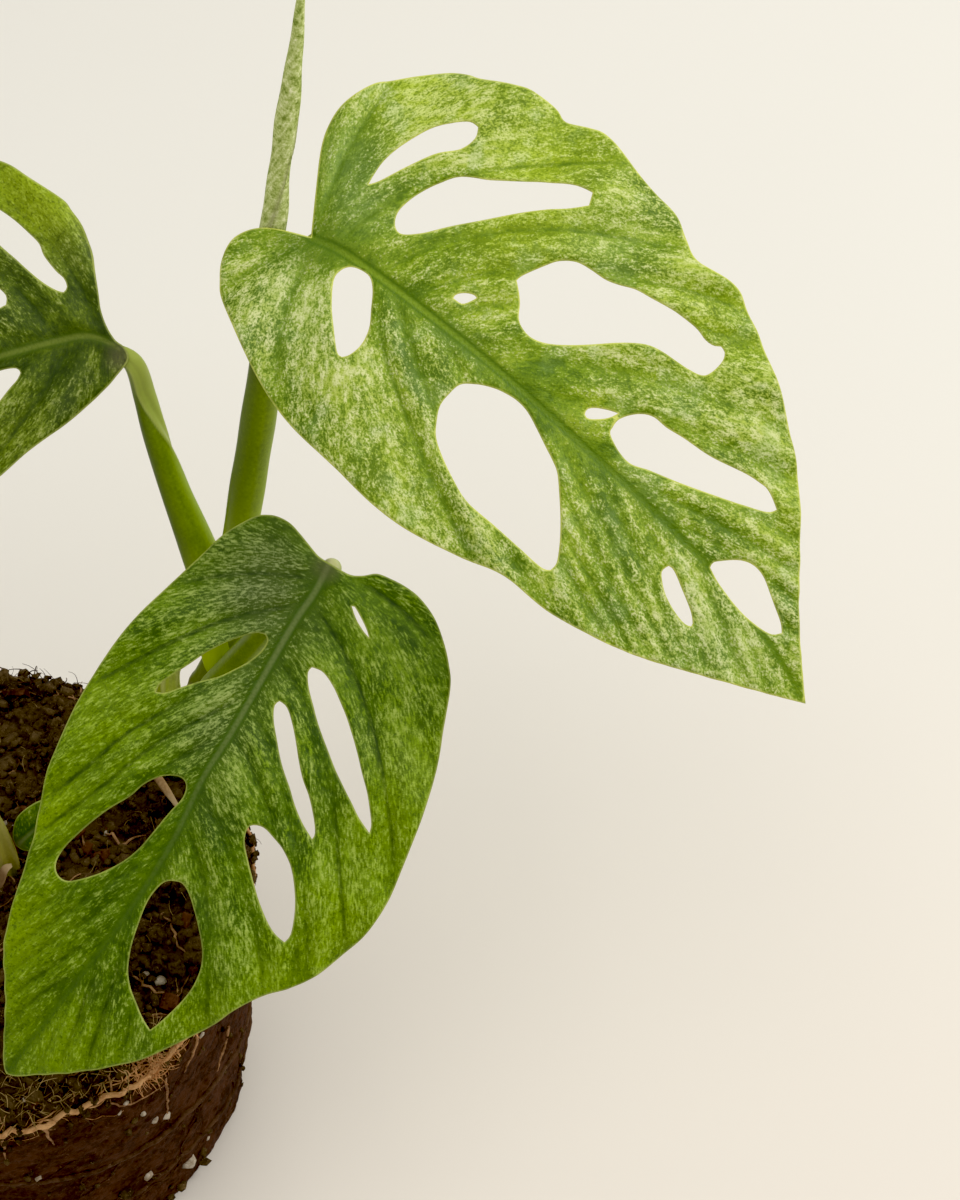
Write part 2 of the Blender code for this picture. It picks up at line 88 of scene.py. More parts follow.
def soft_box(name, place, size, power):
    """Square area light that shines towards the plant, place and size in metres."""
    turn = (Vector(PLANT_MIDDLE) - Vector(place)).to_track_quat("-Z", "Y").to_euler()
    bpy.ops.object.light_add(type="AREA", location=place, rotation=turn)
    lamp = bpy.context.object
    lamp.name = name
    lamp.data.size = size
    lamp.data.energy = power
    lamp.data.color = LAMP_TINT


soft_box("box_over", (0.12, -0.3, 1.15), 0.55, 2.2)
soft_box("box_right", (0.75, 0.15, 0.85), 0.45, 5.0)
soft_box("box_left", (-0.8, -0.4, 0.7), 0.8, 1.2)
soft_box("box_back", (0.1, 0.9, 0.7), 0.7, 1.6)
surround = bpy.data.worlds.new("bright_room")
surround.use_nodes = True
room = surround.node_tree.nodes["Background"].inputs
room["Color"].default_value = ROOM_TINT
room["Strength"].default_value = 0.53
bpy.context.scene.world = surround
view = bpy.context.scene.view_settings
view.view_transform = "Standard"
view.use_curve_mapping = True
view.curve_mapping.black_level = (0.012, 0.012, 0.012)
view.curve_mapping.update()

# %% [markdown]
# ## Recipes for finishes
#
# Each finish is a small graph of shader nodes. Wiring nodes one by one is long, so a helper adds a
# node and feeds its sockets in one line. A finish then reads like a recipe.


# %% Helper that adds and wires shader nodes
class Recipe:
    """Adds nodes to one node tree. A value that is a socket is linked, any other one is set."""

    def __init__(self, tree):
        self.tree = tree

    def add(self, kind, feeds=None, **settings):
        made = self.tree.nodes.new(kind)
        for key, value in settings.items():
            setattr(made, key, value)
        for socket, value in (feeds or {}).items():
            self.feed(made.inputs[socket], value)
        return made

    def feed(self, socket, value):
        if isinstance(value, bpy.types.NodeSocket):
            self.tree.links.new(value, socket)
        elif socket.type == "RGBA":
            socket.default_value = (*value, 1)
        else:
            socket.default_value = value

    def math(self, operation, *values):
        feeds = dict(enumerate(values))
        return self.add("ShaderNodeMath", feeds, operation=operation).outputs[0]

    def times(self, first, second):
        return self.math("MULTIPLY", first, second)

    def part_of(self, value, share, rest):
        """A share of one value on top of the rest."""
        return self.math("MULTIPLY_ADD", value, share, rest)

    def vector(self, operation, feeds, result="Vector"):
        return self.add("ShaderNodeVectorMath", feeds, operation=operation).outputs[result]

    def fade(self, value, start, stop, low=0.0, high=1.0):
        """Soft step from low to high while the value goes from start to stop."""
        feeds = {"Value": value, "From Min": start, "From Max": stop, "To Min": low, "To Max": high}
        return self.add("ShaderNodeMapRange", feeds, interpolation_type="SMOOTHSTEP").outputs[0]

    def blend(self, share, first, second):
        made = self.add("ShaderNodeMix", {0: share, 6: first, 7: second}, data_type="RGBA")
        return made.outputs[2]

    def ramp(self, value, stops):
        made = self.add("ShaderNodeValToRGB", {"Fac": value})
        band = made.color_ramp
        band.elements[0].position, band.elements[0].color = stops[0][0], (*stops[0][1], 1)
        band.elements[1].position, band.elements[1].color = stops[-1][0], (*stops[-1][1], 1)
        for place, colour in stops[1:-1]:
            band.elements.new(place).color = (*colour, 1)
        return made.outputs["Color"]

    def grain(self, place, size, detail, rough):
        """Noise whose lumps are about size millimetres across, with place in millimetres."""
        feeds = {"Vector": place, "Scale": 1 / size, "Detail": detail, "Roughness": rough}
        return self.add("ShaderNodeTexNoise", feeds).outputs[0]

    def attribute(self, name, kind="Fac"):
        return self.add("ShaderNodeAttribute", attribute_name=name).outputs[kind]

    def millimetres(self):
        spot = self.add("ShaderNodeTexCoord").outputs["Object"]
        return self.vector("SCALE", {0: spot, "Scale": 1 / MM})

    def group(self, tree, feeds):
        return self.add("ShaderNodeGroup", feeds, node_tree=tree).outputs

    def bump(self, shader, height, strength, depth):
        """Tilts the light on the skin after a height map, with its depth in metres."""
        made = self.add("ShaderNodeBump", {"Strength": strength, "Distance": depth, "Height": height})
        self.feed(shader.inputs["Normal"], made.outputs["Normal"])


print("recipe helper ready")


# %% The start of every finish
def new_finish(name, roughness, specular=0.5):
    """A material with its Principled shader, and the recipe to fill it."""
    made = bpy.data.materials.new(name)
    made.use_nodes = True
    shader = made.node_tree.nodes["Principled BSDF"]
    shader.inputs["Roughness"].default_value = roughness
    shader.inputs["Specular IOR Level"].default_value = specular
    return made, shader, Recipe(made.node_tree)


def toned(colour, factor):
    """A colour made darker, with a factor under one, or lighter."""
    return [tone * factor for tone in colour]


print("half of white is", toned((1, 1, 1), 0.5))

# %% [markdown]
# The cream flecks on the leaves are drawn out along the side veins, because the leaf's cells
# divide in that direction. Plain noise has no direction. The group below looks up the same noise
# at several places along the vein and takes the mean, which smears it that way, as a brush would.
# It is a group because the leaves, the rolled leaf and the stems all use it.


# %% Shared node group: streaks along a direction
def group_of(name, inputs, outputs):
    """Empty shader group with named sockets, and the recipe to fill it."""
    tree = bpy.data.node_groups.new(name, "ShaderNodeTree")
    for way, sockets in (("INPUT", inputs), ("OUTPUT", outputs)):
        for socket, kind in sockets.items():
            tree.interface.new_socket(name=socket, in_out=way, socket_type=kind)
    given, result = tree.nodes.new("NodeGroupInput"), tree.nodes.new("NodeGroupOutput")
    return tree, Recipe(tree), given.outputs, result.inputs


FLOAT, VECTOR, COLOUR = "NodeSocketFloat", "NodeSocketVector", "NodeSocketColor"
LOOKS = (-1.5, -0.5, 0.5, 1.5)
streaks, recipe, given, result = group_of(
    "streaks", {"Place": VECTOR, "Along": VECTOR, "Scale": FLOAT, "Reach": FLOAT, "Contrast": FLOAT},
    {"Streaks": FLOAT})
total = None
for look in LOOKS:
    stride = recipe.vector("SCALE", {0: given["Along"], "Scale": recipe.times(given["Reach"], look)})
    spot = recipe.vector("ADD", {0: given["Place"], 1: stride})
    feeds = {"Vector": spot, "Scale": given["Scale"], "Detail": 3.0, "Roughness": 0.62}
    found = recipe.add("ShaderNodeTexNoise", feeds).outputs[0]
    total = found if total is None else recipe.math("ADD", total, found)
centred = recipe.math("SUBTRACT", recipe.times(total, 1 / len(LOOKS)), 0.5)
strong = recipe.part_of(centred, given["Contrast"], 0.5)
recipe.feed(result["Streaks"], recipe.math("MINIMUM", recipe.math("MAXIMUM", strong, 0.0), 1.0))


def streak_node(recipe, place, along, size, reach, contrast):
    """Streaks about size millimetres wide, smeared over some times reach along a direction."""
    feeds = {"Place": place, "Along": along, "Scale": 1 / size, "Reach": reach, "Contrast": contrast}
    return recipe.group(streaks, feeds)["Streaks"]


print("group", streaks.name, "has", len(streaks.nodes), "nodes")

# %% [markdown]
# ## Leaf blades
#
# A blade of this species is thin, arched from the stalk to the tip, folded a little along its
# midrib and pierced between its side veins. It could be cut out of a plane by hand, but then the
# mesh would be ragged at every hole. Here the outline and the holes are drawn as smooth lines, the
# space between them is filled with even points, and all of it is joined to triangles. Each point
# then gets its height from the same bend as the solid, plus the small forms that the solid lacks:
# the sunken midrib, the sunken side veins and the quilted skin between them.
#
# Each blade also carries numbers for its finish: how far a point is from the midrib, from the next
# side vein and from the nearest edge, and which way its side vein runs.


# %% Smooth lines through points
def curve_through(points, closed, steps):
    """Points of a Catmull-Rom curve, with a number of steps between each two given points."""
    points = np.asarray(points, float)
    count = len(points)
    spans = count if closed else count - 1
    line = []
    for span in range(spans):
        near = [(span + shift) % count if closed else min(max(span + shift, 0), count - 1)
                for shift in (-1, 0, 1, 2)]
        a, b, c, d = points[near]
        for share in np.arange(steps) / steps:
            line.append(0.5 * (2 * b + (c - a) * share + (2 * a - 5 * b + 4 * c - d) * share ** 2
                               + (3 * b - a - 3 * c + d) * share ** 3))
    if not closed:
        line.append(points[-1])
    return np.array(line)


def even_steps(line, step, closed):
    """The same line, cut into equal steps."""
    if closed:
        line = np.vstack([line, line[:1]])
    lengths = np.concatenate([[0], np.cumsum(np.linalg.norm(np.diff(line, axis=0), axis=1))])
    pieces = max(round(lengths[-1] / step), 6)
    wanted = np.linspace(0, lengths[-1], pieces + 1)
    if closed:
        wanted = wanted[:-1]
    return np.stack([np.interp(wanted, lengths, line[:, axis]) for axis in range(line.shape[1])], axis=1)


test_ring = even_steps(curve_through([(0, 0), (9, 0), (9, 9)], True, 8), 1.0, True)
print("a test ring has", len(test_ring), "points")


# %% Where a point lies in an outline
def inside(points, outline):
    """For each point, whether it lies within a closed outline."""
    found = np.zeros(len(points), bool)
    for before, after in zip(outline, np.roll(outline, -1, axis=0)):
        crosses = (before[1] > points[:, 1]) != (after[1] > points[:, 1])
        slope = (after[0] - before[0]) / ((after[1] - before[1]) or 1e-9)
        found ^= crosses & (points[:, 0] < before[0] + (points[:, 1] - before[1]) * slope)
    return found


def distance_to(points, outline):
    """For each point, its distance to a closed outline."""
    least = np.full(len(points), np.inf)
    for before, after in zip(outline, np.roll(outline, -1, axis=0)):
        along = after - before
        share = np.clip(((points - before) @ along) / max(along @ along, 1e-9), 0, 1)
        least = np.minimum(least, np.linalg.norm(points - before - share[:, None] * along, axis=1))
    return least


square = np.array([(0, 0), (2, 0), (2, 2), (0, 2)])
print("middle of a square is inside it:", inside(np.array([[1.0, 1.0]]), square)[0])


# %% Soft steps and directions
def soft(value, start, stop):
    """Soft step from zero to one while the value goes from start to stop."""
    share = np.clip((value - start) / (stop - start), 0, 1)
    return share * share * (3 - 2 * share)


def unit(ways):
    """A direction, or each of several directions, with length one."""
    ways = np.asarray(ways, float)
    lengths = np.linalg.norm(ways) if ways.ndim == 1 else np.linalg.norm(ways, axis=1)[:, None]
    return ways / lengths


print("a soft step at a quarter of its way:", soft(0.25, 0, 1))

# %% The form of one blade
BISECTIONS = 26


class Blade:
    """Where one blade hangs, how it bends and where its veins run, in millimetres.

    x runs across the blade and y from the stalk to the tip. fans holds, for the side with x above
    and below the midrib, rows of (start of a side vein on the midrib, its slope there, its bend).
    laterals holds the starts of the main side veins of each side. patches holds soft round areas
    (x, y, reach, strength) with more flecks (pale), more yellow (ripe) or painted sheen over a paler
    mint (silver): a reflection of the lamp above, painted into the colour.
    """

    def __init__(self, joint, tip, facing, arch, fold, droop, wave, midrib, margin, holes, fans,
                 laterals, patches=()):
        self.joint = np.array(joint, float)
        along = np.array(tip, float) - self.joint
        self.length = np.linalg.norm(along)
        self.along = along / self.length
        facing = np.array(facing, float)
        self.up = unit(facing - self.along * (facing @ self.along))
        self.across = np.cross(self.along, self.up)
        self.arch, self.fold, self.droop, self.wave = arch, fold, droop, wave
        self.midrib = curve_through(midrib, False, 6)
        self.margin, self.holes, self.fans, self.laterals = margin, holes, fans, laterals
        self.patches = dict(patches)

    def midrib_x(self, y):
        return np.interp(y, self.midrib[:, 1], self.midrib[:, 0])

    def height(self, x, y):
        """Height of the bent blade over its flat frame."""
        part = y / self.length
        side = abs(x)
        ripple = np.sin(part * 5 * math.tau + np.where(x > 0, 0.8, 0)) * (side / 40) ** 2
        fold = self.fold * abs(x - self.midrib_x(y) * soft(y, 0, 12))
        return self.arch * 4 * part * (1 - part) + fold - self.droop * side ** 2 + self.wave * ripple

    def place(self, x, y, z):
        return self.joint + np.outer(x, self.across) + np.outer(y, self.along) + np.outer(z, self.up)

    def patch(self, kind, x, y):
        """Sum of the soft areas of one kind at each point."""
        found = np.zeros(len(x))
        for middle_x, middle_y, reach, strength in self.patches.get(kind, ()):
            found += strength * np.exp(-((x - middle_x) ** 2 + (y - middle_y) ** 2) / reach ** 2)
        return found

    def veins(self, x, y):
        """For each point: distance from the midrib, side vein number, strength of the nearest side
        vein, width of a vein's field there and the direction of the vein in the flat blade.

        A side vein starts on the midrib and bends towards the tip. The start of the vein through a
        point is found by halving the range in which it must lie."""
        off = x - self.midrib_x(y)
        left = off > 0
        away = abs(off)
        tables = [np.array(self.fans[side], float) for side in (1, -1)]

        def bend(start):
            slope = np.where(left, *(np.interp(start, table[:, 0], table[:, 1]) for table in tables))
            curl = np.where(left, *(np.interp(start, table[:, 0], table[:, 2]) for table in tables))
            return slope, curl, np.maximum(start, 0) + slope * away + curl * away ** 2

        low, high = np.full(len(x), -12.0), np.full(len(x), self.length + 20)
        for _ in range(BISECTIONS):
            middle = (low + high) / 2
            below = bend(middle)[2] < y
            low, high = np.where(below, middle, low), np.where(below, high, middle)
        start = (low + high) / 2
        slope, curl, _ = bend(start)
        spread = abs(bend(start + 0.5)[2] - bend(start - 0.5)[2])
        numbers, fields = [], []
        for side in (1, -1):
            marks = np.array(self.laterals[side], float)
            numbers.append(np.interp(start, marks, np.arange(len(marks))))
            fields.append(np.interp(start, (marks[1:] + marks[:-1]) / 2, np.diff(marks)))
        number = np.where(left, *numbers)
        strength = 0.45 + 0.55 * np.sin(np.round(number) * 12.9 + np.where(left, 0, 4)) ** 2
        steep = slope + 2 * curl * away
        long = np.sqrt(1 + steep ** 2)
        width = np.where(left, *fields) * spread / long
        heading = np.stack([np.where(left, 1, -1) / long, steep / long], axis=1)
        return away, number, strength, width, heading


print("blade form ready")

# %% [markdown]
# The three big blades follow the solids: the same hanging points, bends and margins. Their holes
# are drawn point by point, because each real hole has its own shape, blunt at the midrib and
# pointed or square at its far end.

# %% The upper blade
UPPER = Blade(
    joint=(73, 47, 206), tip=(158, -16, 156.5), facing=(0.07, -0.55, 0.83),
    arch=7, fold=0.10, droop=0.004, wave=1.4,
    midrib=[(0, 0), (-1.4, 4), (-2.2, 9), (-3.4, 22), (-4.4, 39), (-4.9, 58), (-5.2, 76), (-4.6, 92),
            (-2.4, 107), (0, 117)],
    margin=[(0, -0.6), (-6.5, -5.6), (-13, -10.4), (-17.5, -12.5), (-21.8, -13.1), (-27.8, -11.8),
            (-30.6, -10.1), (-34.7, -7.3), (-38.8, -3.8), (-40.6, -1), (-41.3, 1.3), (-43.9, 6.1),
            (-45.6, 9.5), (-46.5, 14.5), (-46, 17.3), (-48, 21), (-48.8, 24.5), (-47.6, 32), (-47.2, 37),
            (-46.8, 42.4), (-44.4, 47), (-42.5, 51.4), (-44.3, 58.6), (-43, 63), (-38.6, 71.4),
            (-32.1, 82.7), (-27, 89.4), (-21.2, 95.1), (-9, 106.5), (0, 117), (3.3, 111.4), (9.8, 99.7),
            (15.7, 88), (19.8, 74.5), (20.8, 64), (23.6, 56), (26.3, 47.3), (27.2, 40), (27, 31),
            (26.6, 19.5), (24, 8.5), (18.9, -3.4), (16.2, -6.9), (12.7, -9.5), (8.5, -10.3), (4, -7.6)],
    holes=[[(-13.4, 0.4), (-15.3, -0.1), (-18.6, -0.6), (-22.7, -0.2), (-28.1, 1.3), (-31.4, 3.4),
            (-33.6, 5.5), (-33.9, 7.2), (-32, 8.2), (-28.9, 7.7), (-25.1, 5.1), (-19.9, 3), (-15.2, 1.4)],
           [(-11, 8.9), (-12.9, 7.6), (-15.1, 7.4), (-18.3, 7.9), (-22, 9.2), (-25.5, 11.1), (-28.5, 15),
            (-31.9, 18.9), (-34.7, 22.2), (-37.7, 26.4), (-38.7, 29.6), (-36.5, 30.7), (-33.8, 28.7),
            (-30.7, 25.7), (-26.7, 22.4), (-21.7, 18.8), (-17.4, 15.8), (-13.2, 13.1), (-10.7, 10.7)],
           [(-18, 30.7), (-19.6, 30.9), (-23.3, 32.4), (-25.7, 33.7), (-27.7, 35.9), (-28.6, 38.7),
            (-29.1, 41.6), (-30, 44), (-31.3, 46.7), (-32, 50.1), (-33, 54.1), (-33.7, 58.7), (-33.4, 61.2),
            (-33.7, 62.9), (-34.6, 64), (-34.2, 65.2), (-32.6, 65.9), (-30.2, 65.9), (-28.4, 65.2),
            (-27.4, 62.8), (-26.7, 59.8), (-26, 56.8), (-24.9, 54.2), (-22.1, 50.9), (-17.2, 46.2),
            (-13.8, 42.3), (-12.4, 39.5), (-12.5, 37.1), (-13.5, 35.4), (-15.9, 33.5)],
           [(-9.5, 60.5), (-10.6, 60), (-12.3, 59.8), (-14.2, 60.6), (-16, 62.1), (-17, 64), (-17.2, 66.8),
            (-17.9, 70.2), (-18.8, 75.7), (-20.9, 81.8), (-21.6, 84.8), (-21.7, 86.9), (-20.3, 90.2),
            (-18.8, 89.2), (-16.4, 84.7), (-14, 79.7), (-11.7, 74.7), (-9.7, 69.6), (-8.3, 66.4),
            (-8.5, 63.4)],
           [(-5, 88.6), (-6, 88.4), (-7.1, 89.2), (-9.2, 91.1), (-10.3, 92.9), (-10.6, 94.9), (-10.1, 97.1),
            (-8.6, 100), (-6.8, 104), (-5.6, 105.4), (-4.2, 104.3), (-3.5, 101.8), (-3.2, 97.6),
            (-3.9, 92.3)],
           [(-0.7, 8.2), (-1.5, 10.1), (-1.5, 11.9), (-0.1, 13.8), (2.4, 15.8), (5.3, 18), (8.4, 19),
            (11, 18.8), (12.2, 18.1), (12.1, 16.9), (9.6, 13.8), (6.6, 10.5), (3.1, 7.7), (0.9, 7.4)],
           [(1.8, 36.1), (0.1, 37.9), (-1.3, 40), (-2.3, 42.6), (-2.8, 45.4), (-2.4, 48.3), (-0.5, 53.3),
            (0.7, 56.5), (2.1, 59), (6.6, 63.7), (9.8, 66.6), (12.9, 68.8), (14.7, 68.9), (15.4, 67.4),
            (15.5, 62.1), (15.7, 56.4), (16, 50.7), (14.7, 46.1), (13.2, 42.4), (11.5, 39.4), (9.6, 37.7),
            (7, 36.1), (4.4, 35.8)],
           [(2.1, 83.4), (1, 82.9), (-0.1, 83.2), (-0.1, 84.4), (1.2, 87.5), (2.7, 90.9), (4, 92.8),
            (4.7, 93.1), (5.2, 91.8), (4.9, 89.1), (3.9, 86)],
           [(-8.4, 24.9), (-9.2, 24.8), (-10.4, 25.7), (-11.2, 27), (-11.2, 27.8), (-10, 27.4), (-8.7, 26.6)],
           [(-9, 55), (-10, 54.7), (-11.1, 55.5), (-12.3, 57.2), (-13.2, 59), (-11.9, 58.6), (-10.5, 57.7),
            (-8.9, 56)]],
    fans={1: [(-9, -0.9, 0.004), (0, 0, 0.012), (7, 0.3, 0.025), (20.5, 1.5, 0.05), (50, 1.9, 0.05),
              (77, 2.3, 0.03), (105, 5, 0.03)],
          -1: [(-9, -0.9, 0.004), (0, -0.1, 0.012), (8, 0.05, 0.018), (31, 0.4, 0.03), (52, 1.5, 0.04),
               (78, 3.2, 0.05), (105, 6, 0.05)]},
    laterals={1: [-12, -8, -4.5, 1.5, 12, 16, 27, 34, 42, 51, 60, 69, 83, 92, 100, 112, 130],
              -1: [-12, -8, -5, 3.8, 13, 20, 26, 38, 46, 59, 67, 75, 88, 97, 108, 130]},
    patches={"pale": [(10, -2, 9, 0.05), (16, 4, 8, 0.05), (13, 20, 8, 0.05), (20, 58, 9, 0.07),
                      (-33, 8, 9, 0.06), (-38, 52, 9, 0.06), (-13, 22, 8, -0.04), (-30, 76, 9, 0.08),
                      (-20, 46, 6, 0.06), (-3, 6, 7, -0.14), (-14, 12, 6, -0.08), (-45, 22, 7, -0.05),
                      (-35, 42, 5, -0.06), (-7, 47, 8, -0.12), (-6, 58, 8, -0.12), (1, 108, 9, 0.06),
                      (-10, 41, 6, -0.08), (-44, 62, 6, -0.08), (8, 90, 10, 0.10), (-12, 98, 9, 0.06),
                      (-14, -6, 8, -0.10), (-31, -6, 9, 0.08)],
             "ripe": [(-40, 19, 13, 0.6), (-31, -5, 10, 0.6), (-23, 26, 10, 0.6), (-36, 60, 14, 0.4),
                      (22, 40, 10, 0.3), (-25, 95, 10, 0.4)],
             # Patches of painted sheen: a reflection of the lamp above, painted into the colour over a paler
             # mint.
             "silver": [(-13, -6, 8, 0.8), (-9, 4, 5, 0.6), (10, 6, 10, 0.35), (5, 45, 8, 0.3),
                        (-34, 38, 7, 0.3), (4, 99, 10, 0.4)]},
)
print("upper blade is", round(UPPER.length, 1), "mm long")

# %% The front blade
FRONT = Blade(
    joint=(75, 9, 163), tip=(16, -55, 96), facing=(-0.12, -0.66, 0.74),
    arch=8, fold=0.12, droop=0.005, wave=0.8,
    midrib=[(0, 0), (-0.6, 5), (-0.6, 11), (-1.3, 21), (-2.1, 33), (-2.3, 43), (-3.6, 53), (-3.9, 63),
            (-3.4, 76), (-2, 90), (0, 110)],
    margin=[(0, -0.6), (2.4, -0.6), (4.8, -1.3), (7.3, -2.1), (9.8, -2.7), (12.2, -2.5), (14.1, -1.7),
            (15.9, -0.1), (18.2, 4.6), (19.9, 11.2), (21.6, 17.8), (23.2, 25.5), (23.9, 34), (23.9, 42.6),
            (22.8, 50.5), (21.1, 58.2), (17.4, 68.5), (15, 78.5), (12.1, 88.2), (7.1, 96.9), (1.8, 107.7),
            (0, 110), (-1.8, 109.2), (-4.8, 106.6), (-9.7, 102.5), (-13.9, 98.5), (-17.9, 94.3), (-21, 89.9),
            (-26.6, 80.6), (-29.1, 74.2), (-32.2, 69.2), (-35.6, 65.2), (-37.9, 61.3), (-39.6, 56.1),
            (-41.1, 50.5), (-41.3, 44.3), (-40.3, 38.2), (-38.4, 28.1), (-35.9, 19.9), (-33, 13.2),
            (-29.8, 6), (-27.3, 2.8), (-24.2, -0.1), (-20.6, -2.7), (-16.8, -4.2), (-13.5, -4.5),
            (-10.4, -4.2), (-7.9, -3.6), (-6.2, -2.1), (-4.4, -1), (-2.4, -0.7)],
    holes=[[(12.9, 34.2), (13, 32.6), (12.2, 30.5), (10.7, 27.2), (9.3, 23.8), (7.6, 20.8), (5.7, 18.2),
            (3.9, 16.2), (2.4, 15.6), (1.5, 16.3), (1.4, 18.4), (2.2, 21), (3.5, 23.4), (5.2, 26.1),
            (7.4, 28.5), (9.5, 31), (11.5, 33.5)],
           [(6.8, 52.3), (5.8, 49), (4.1, 46.3), (1.9, 44.7), (0.4, 44.5), (-0.7, 45.5), (-1.1, 47.6),
            (-0.6, 50.5), (-0.1, 54.6), (0.4, 58.6), (1.4, 62), (2.9, 65), (4.4, 67.3), (6.2, 69.5),
            (8.1, 71.3), (9.7, 71.5), (11.1, 70.5), (11.8, 68.8), (11.7, 66.1), (11, 63.1), (10.1, 60),
            (8.7, 56.2)],
           [(-7.8, 60.6), (-6.6, 61.6), (-5.9, 63.5), (-5.7, 66.3), (-6.1, 69.1), (-7, 73), (-7.9, 76.2),
            (-9.3, 79.2), (-11.3, 81.8), (-13.5, 83.6), (-15.8, 85.2), (-18.2, 86.2), (-18.7, 84.9),
            (-19.5, 82), (-20.3, 78.1), (-20.5, 74.7), (-19.9, 71.2), (-18.4, 68.3), (-16, 65.5),
            (-13.3, 62.9), (-10.9, 61), (-9.2, 60.2)],
           [(-14.1, 44.5), (-13.8, 45.8), (-14.6, 47.8), (-16.6, 50), (-19.3, 52.6), (-22.1, 55.2),
            (-24.8, 57.2), (-27.5, 58.7), (-29.9, 59.2), (-30.1, 57.6), (-29.2, 54.9), (-27.8, 52),
            (-25.7, 49), (-23.5, 46.7), (-21, 45.2), (-18.2, 44.3), (-15.9, 43.8)],
           [(-6.2, 23.8), (-5.9, 25), (-7.2, 27.2), (-9.6, 29.8), (-12.6, 32.8), (-15.8, 35.3),
            (-18.6, 37.7), (-21.3, 39.5), (-24.2, 40.9), (-24.1, 39.8), (-22.4, 37.6), (-19.8, 34.9),
            (-17.1, 32.8), (-14.3, 30), (-11.7, 27.2), (-9.3, 25), (-7.6, 23.9)],
           [(-7.7, 15.8), (-7.6, 17), (-9.1, 19.1), (-11.5, 21.3), (-14.3, 23.7), (-17.9, 26.3),
            (-21.6, 28.9), (-26.2, 31.6), (-29.1, 33.4), (-32, 34.7), (-31.4, 33.1), (-29.5, 30.6),
            (-27.5, 28.4), (-25.3, 26.4), (-22.2, 23.5), (-18.5, 20.4), (-15.4, 18.2), (-12.5, 16.4),
            (-9.8, 15.4)],
           [(-7.5, 3.3), (-8, 3.1), (-9.7, 3.9), (-11.8, 5.1), (-13.2, 6.2), (-11.7, 5.8), (-9.5, 4.8)]],
    fans={1: [(-9, -0.9, 0.004), (0, 0.1, 0.012), (13, 0.9, 0.033), (39, 1.9, 0.027), (60, 2.2, 0.05),
              (80, 3.2, 0.08), (100, 6, 0.08)],
          -1: [(-9, -0.9, 0.004), (1, 0.2, 0.018), (13.6, 0.15, 0.0185), (21.7, 0.35, 0.025),
               (38.4, 0.3, 0.019), (45.5, 0.42, 0.0165), (60, 1.3, 0.05), (72, 2.2, 0.07), (86, 3.4, 0.08),
               (100, 6, 0.08)]},
    laterals={1: [-12, -7, -3, 3, 8, 18.5, 25, 32, 46, 54, 62, 71, 80, 90, 100, 112, 130],
              -1: [-12, -7, -3, 7, 17.8, 28, 33, 45, 50, 62, 70, 79, 88, 98, 110, 130]},
    patches={"pale": [(12, 12, 9, 0.05), (8, 29, 9, 0.05), (-2, 34, 8, 0.12), (-25, 18, 10, 0.05),
                      (-31, 45, 9, 0.05), (-25, 60, 8, 0.05), (-8, 3, 8, -0.04), (-1, 60, 8, -0.05),
                      (-14, 94, 8, -0.02), (20, 60, 8, -0.05), (13, 86, 9, -0.07), (2, 100, 9, -0.06),
                      (19, 34, 7, -0.03)],
             "ripe": [(18, 62, 9, 0.8), (14, 84, 7, 0.9), (9, 98, 7, 0.8), (6, 82, 8, 0.3), (18, 42, 9, 0.6),
                      (-38, 50, 9, 0.7), (-34, 66, 8, 0.6), (-27, 82, 8, 0.5), (-33, 20, 8, 0.4),
                      (-36, 32, 9, 0.5), (-6, 104, 8, 0.3), (-9, 97, 9, 0.4)],
             # Patches of painted sheen: a reflection of the lamp above, painted into the colour over a paler
             # mint.
             "silver": [(8, 4, 9, 1.0), (5, 10, 7, 0.7), (12, 14, 9, 0.5), (1, 22, 7, 0.8), (1, 34, 7, 0.9),
                        (-2, 12, 5, 0.5), (-6, 45, 6, 0.4), (-14, 62, 6, 0.3)]},
)
print("front blade is", round(FRONT.length, 1), "mm long")

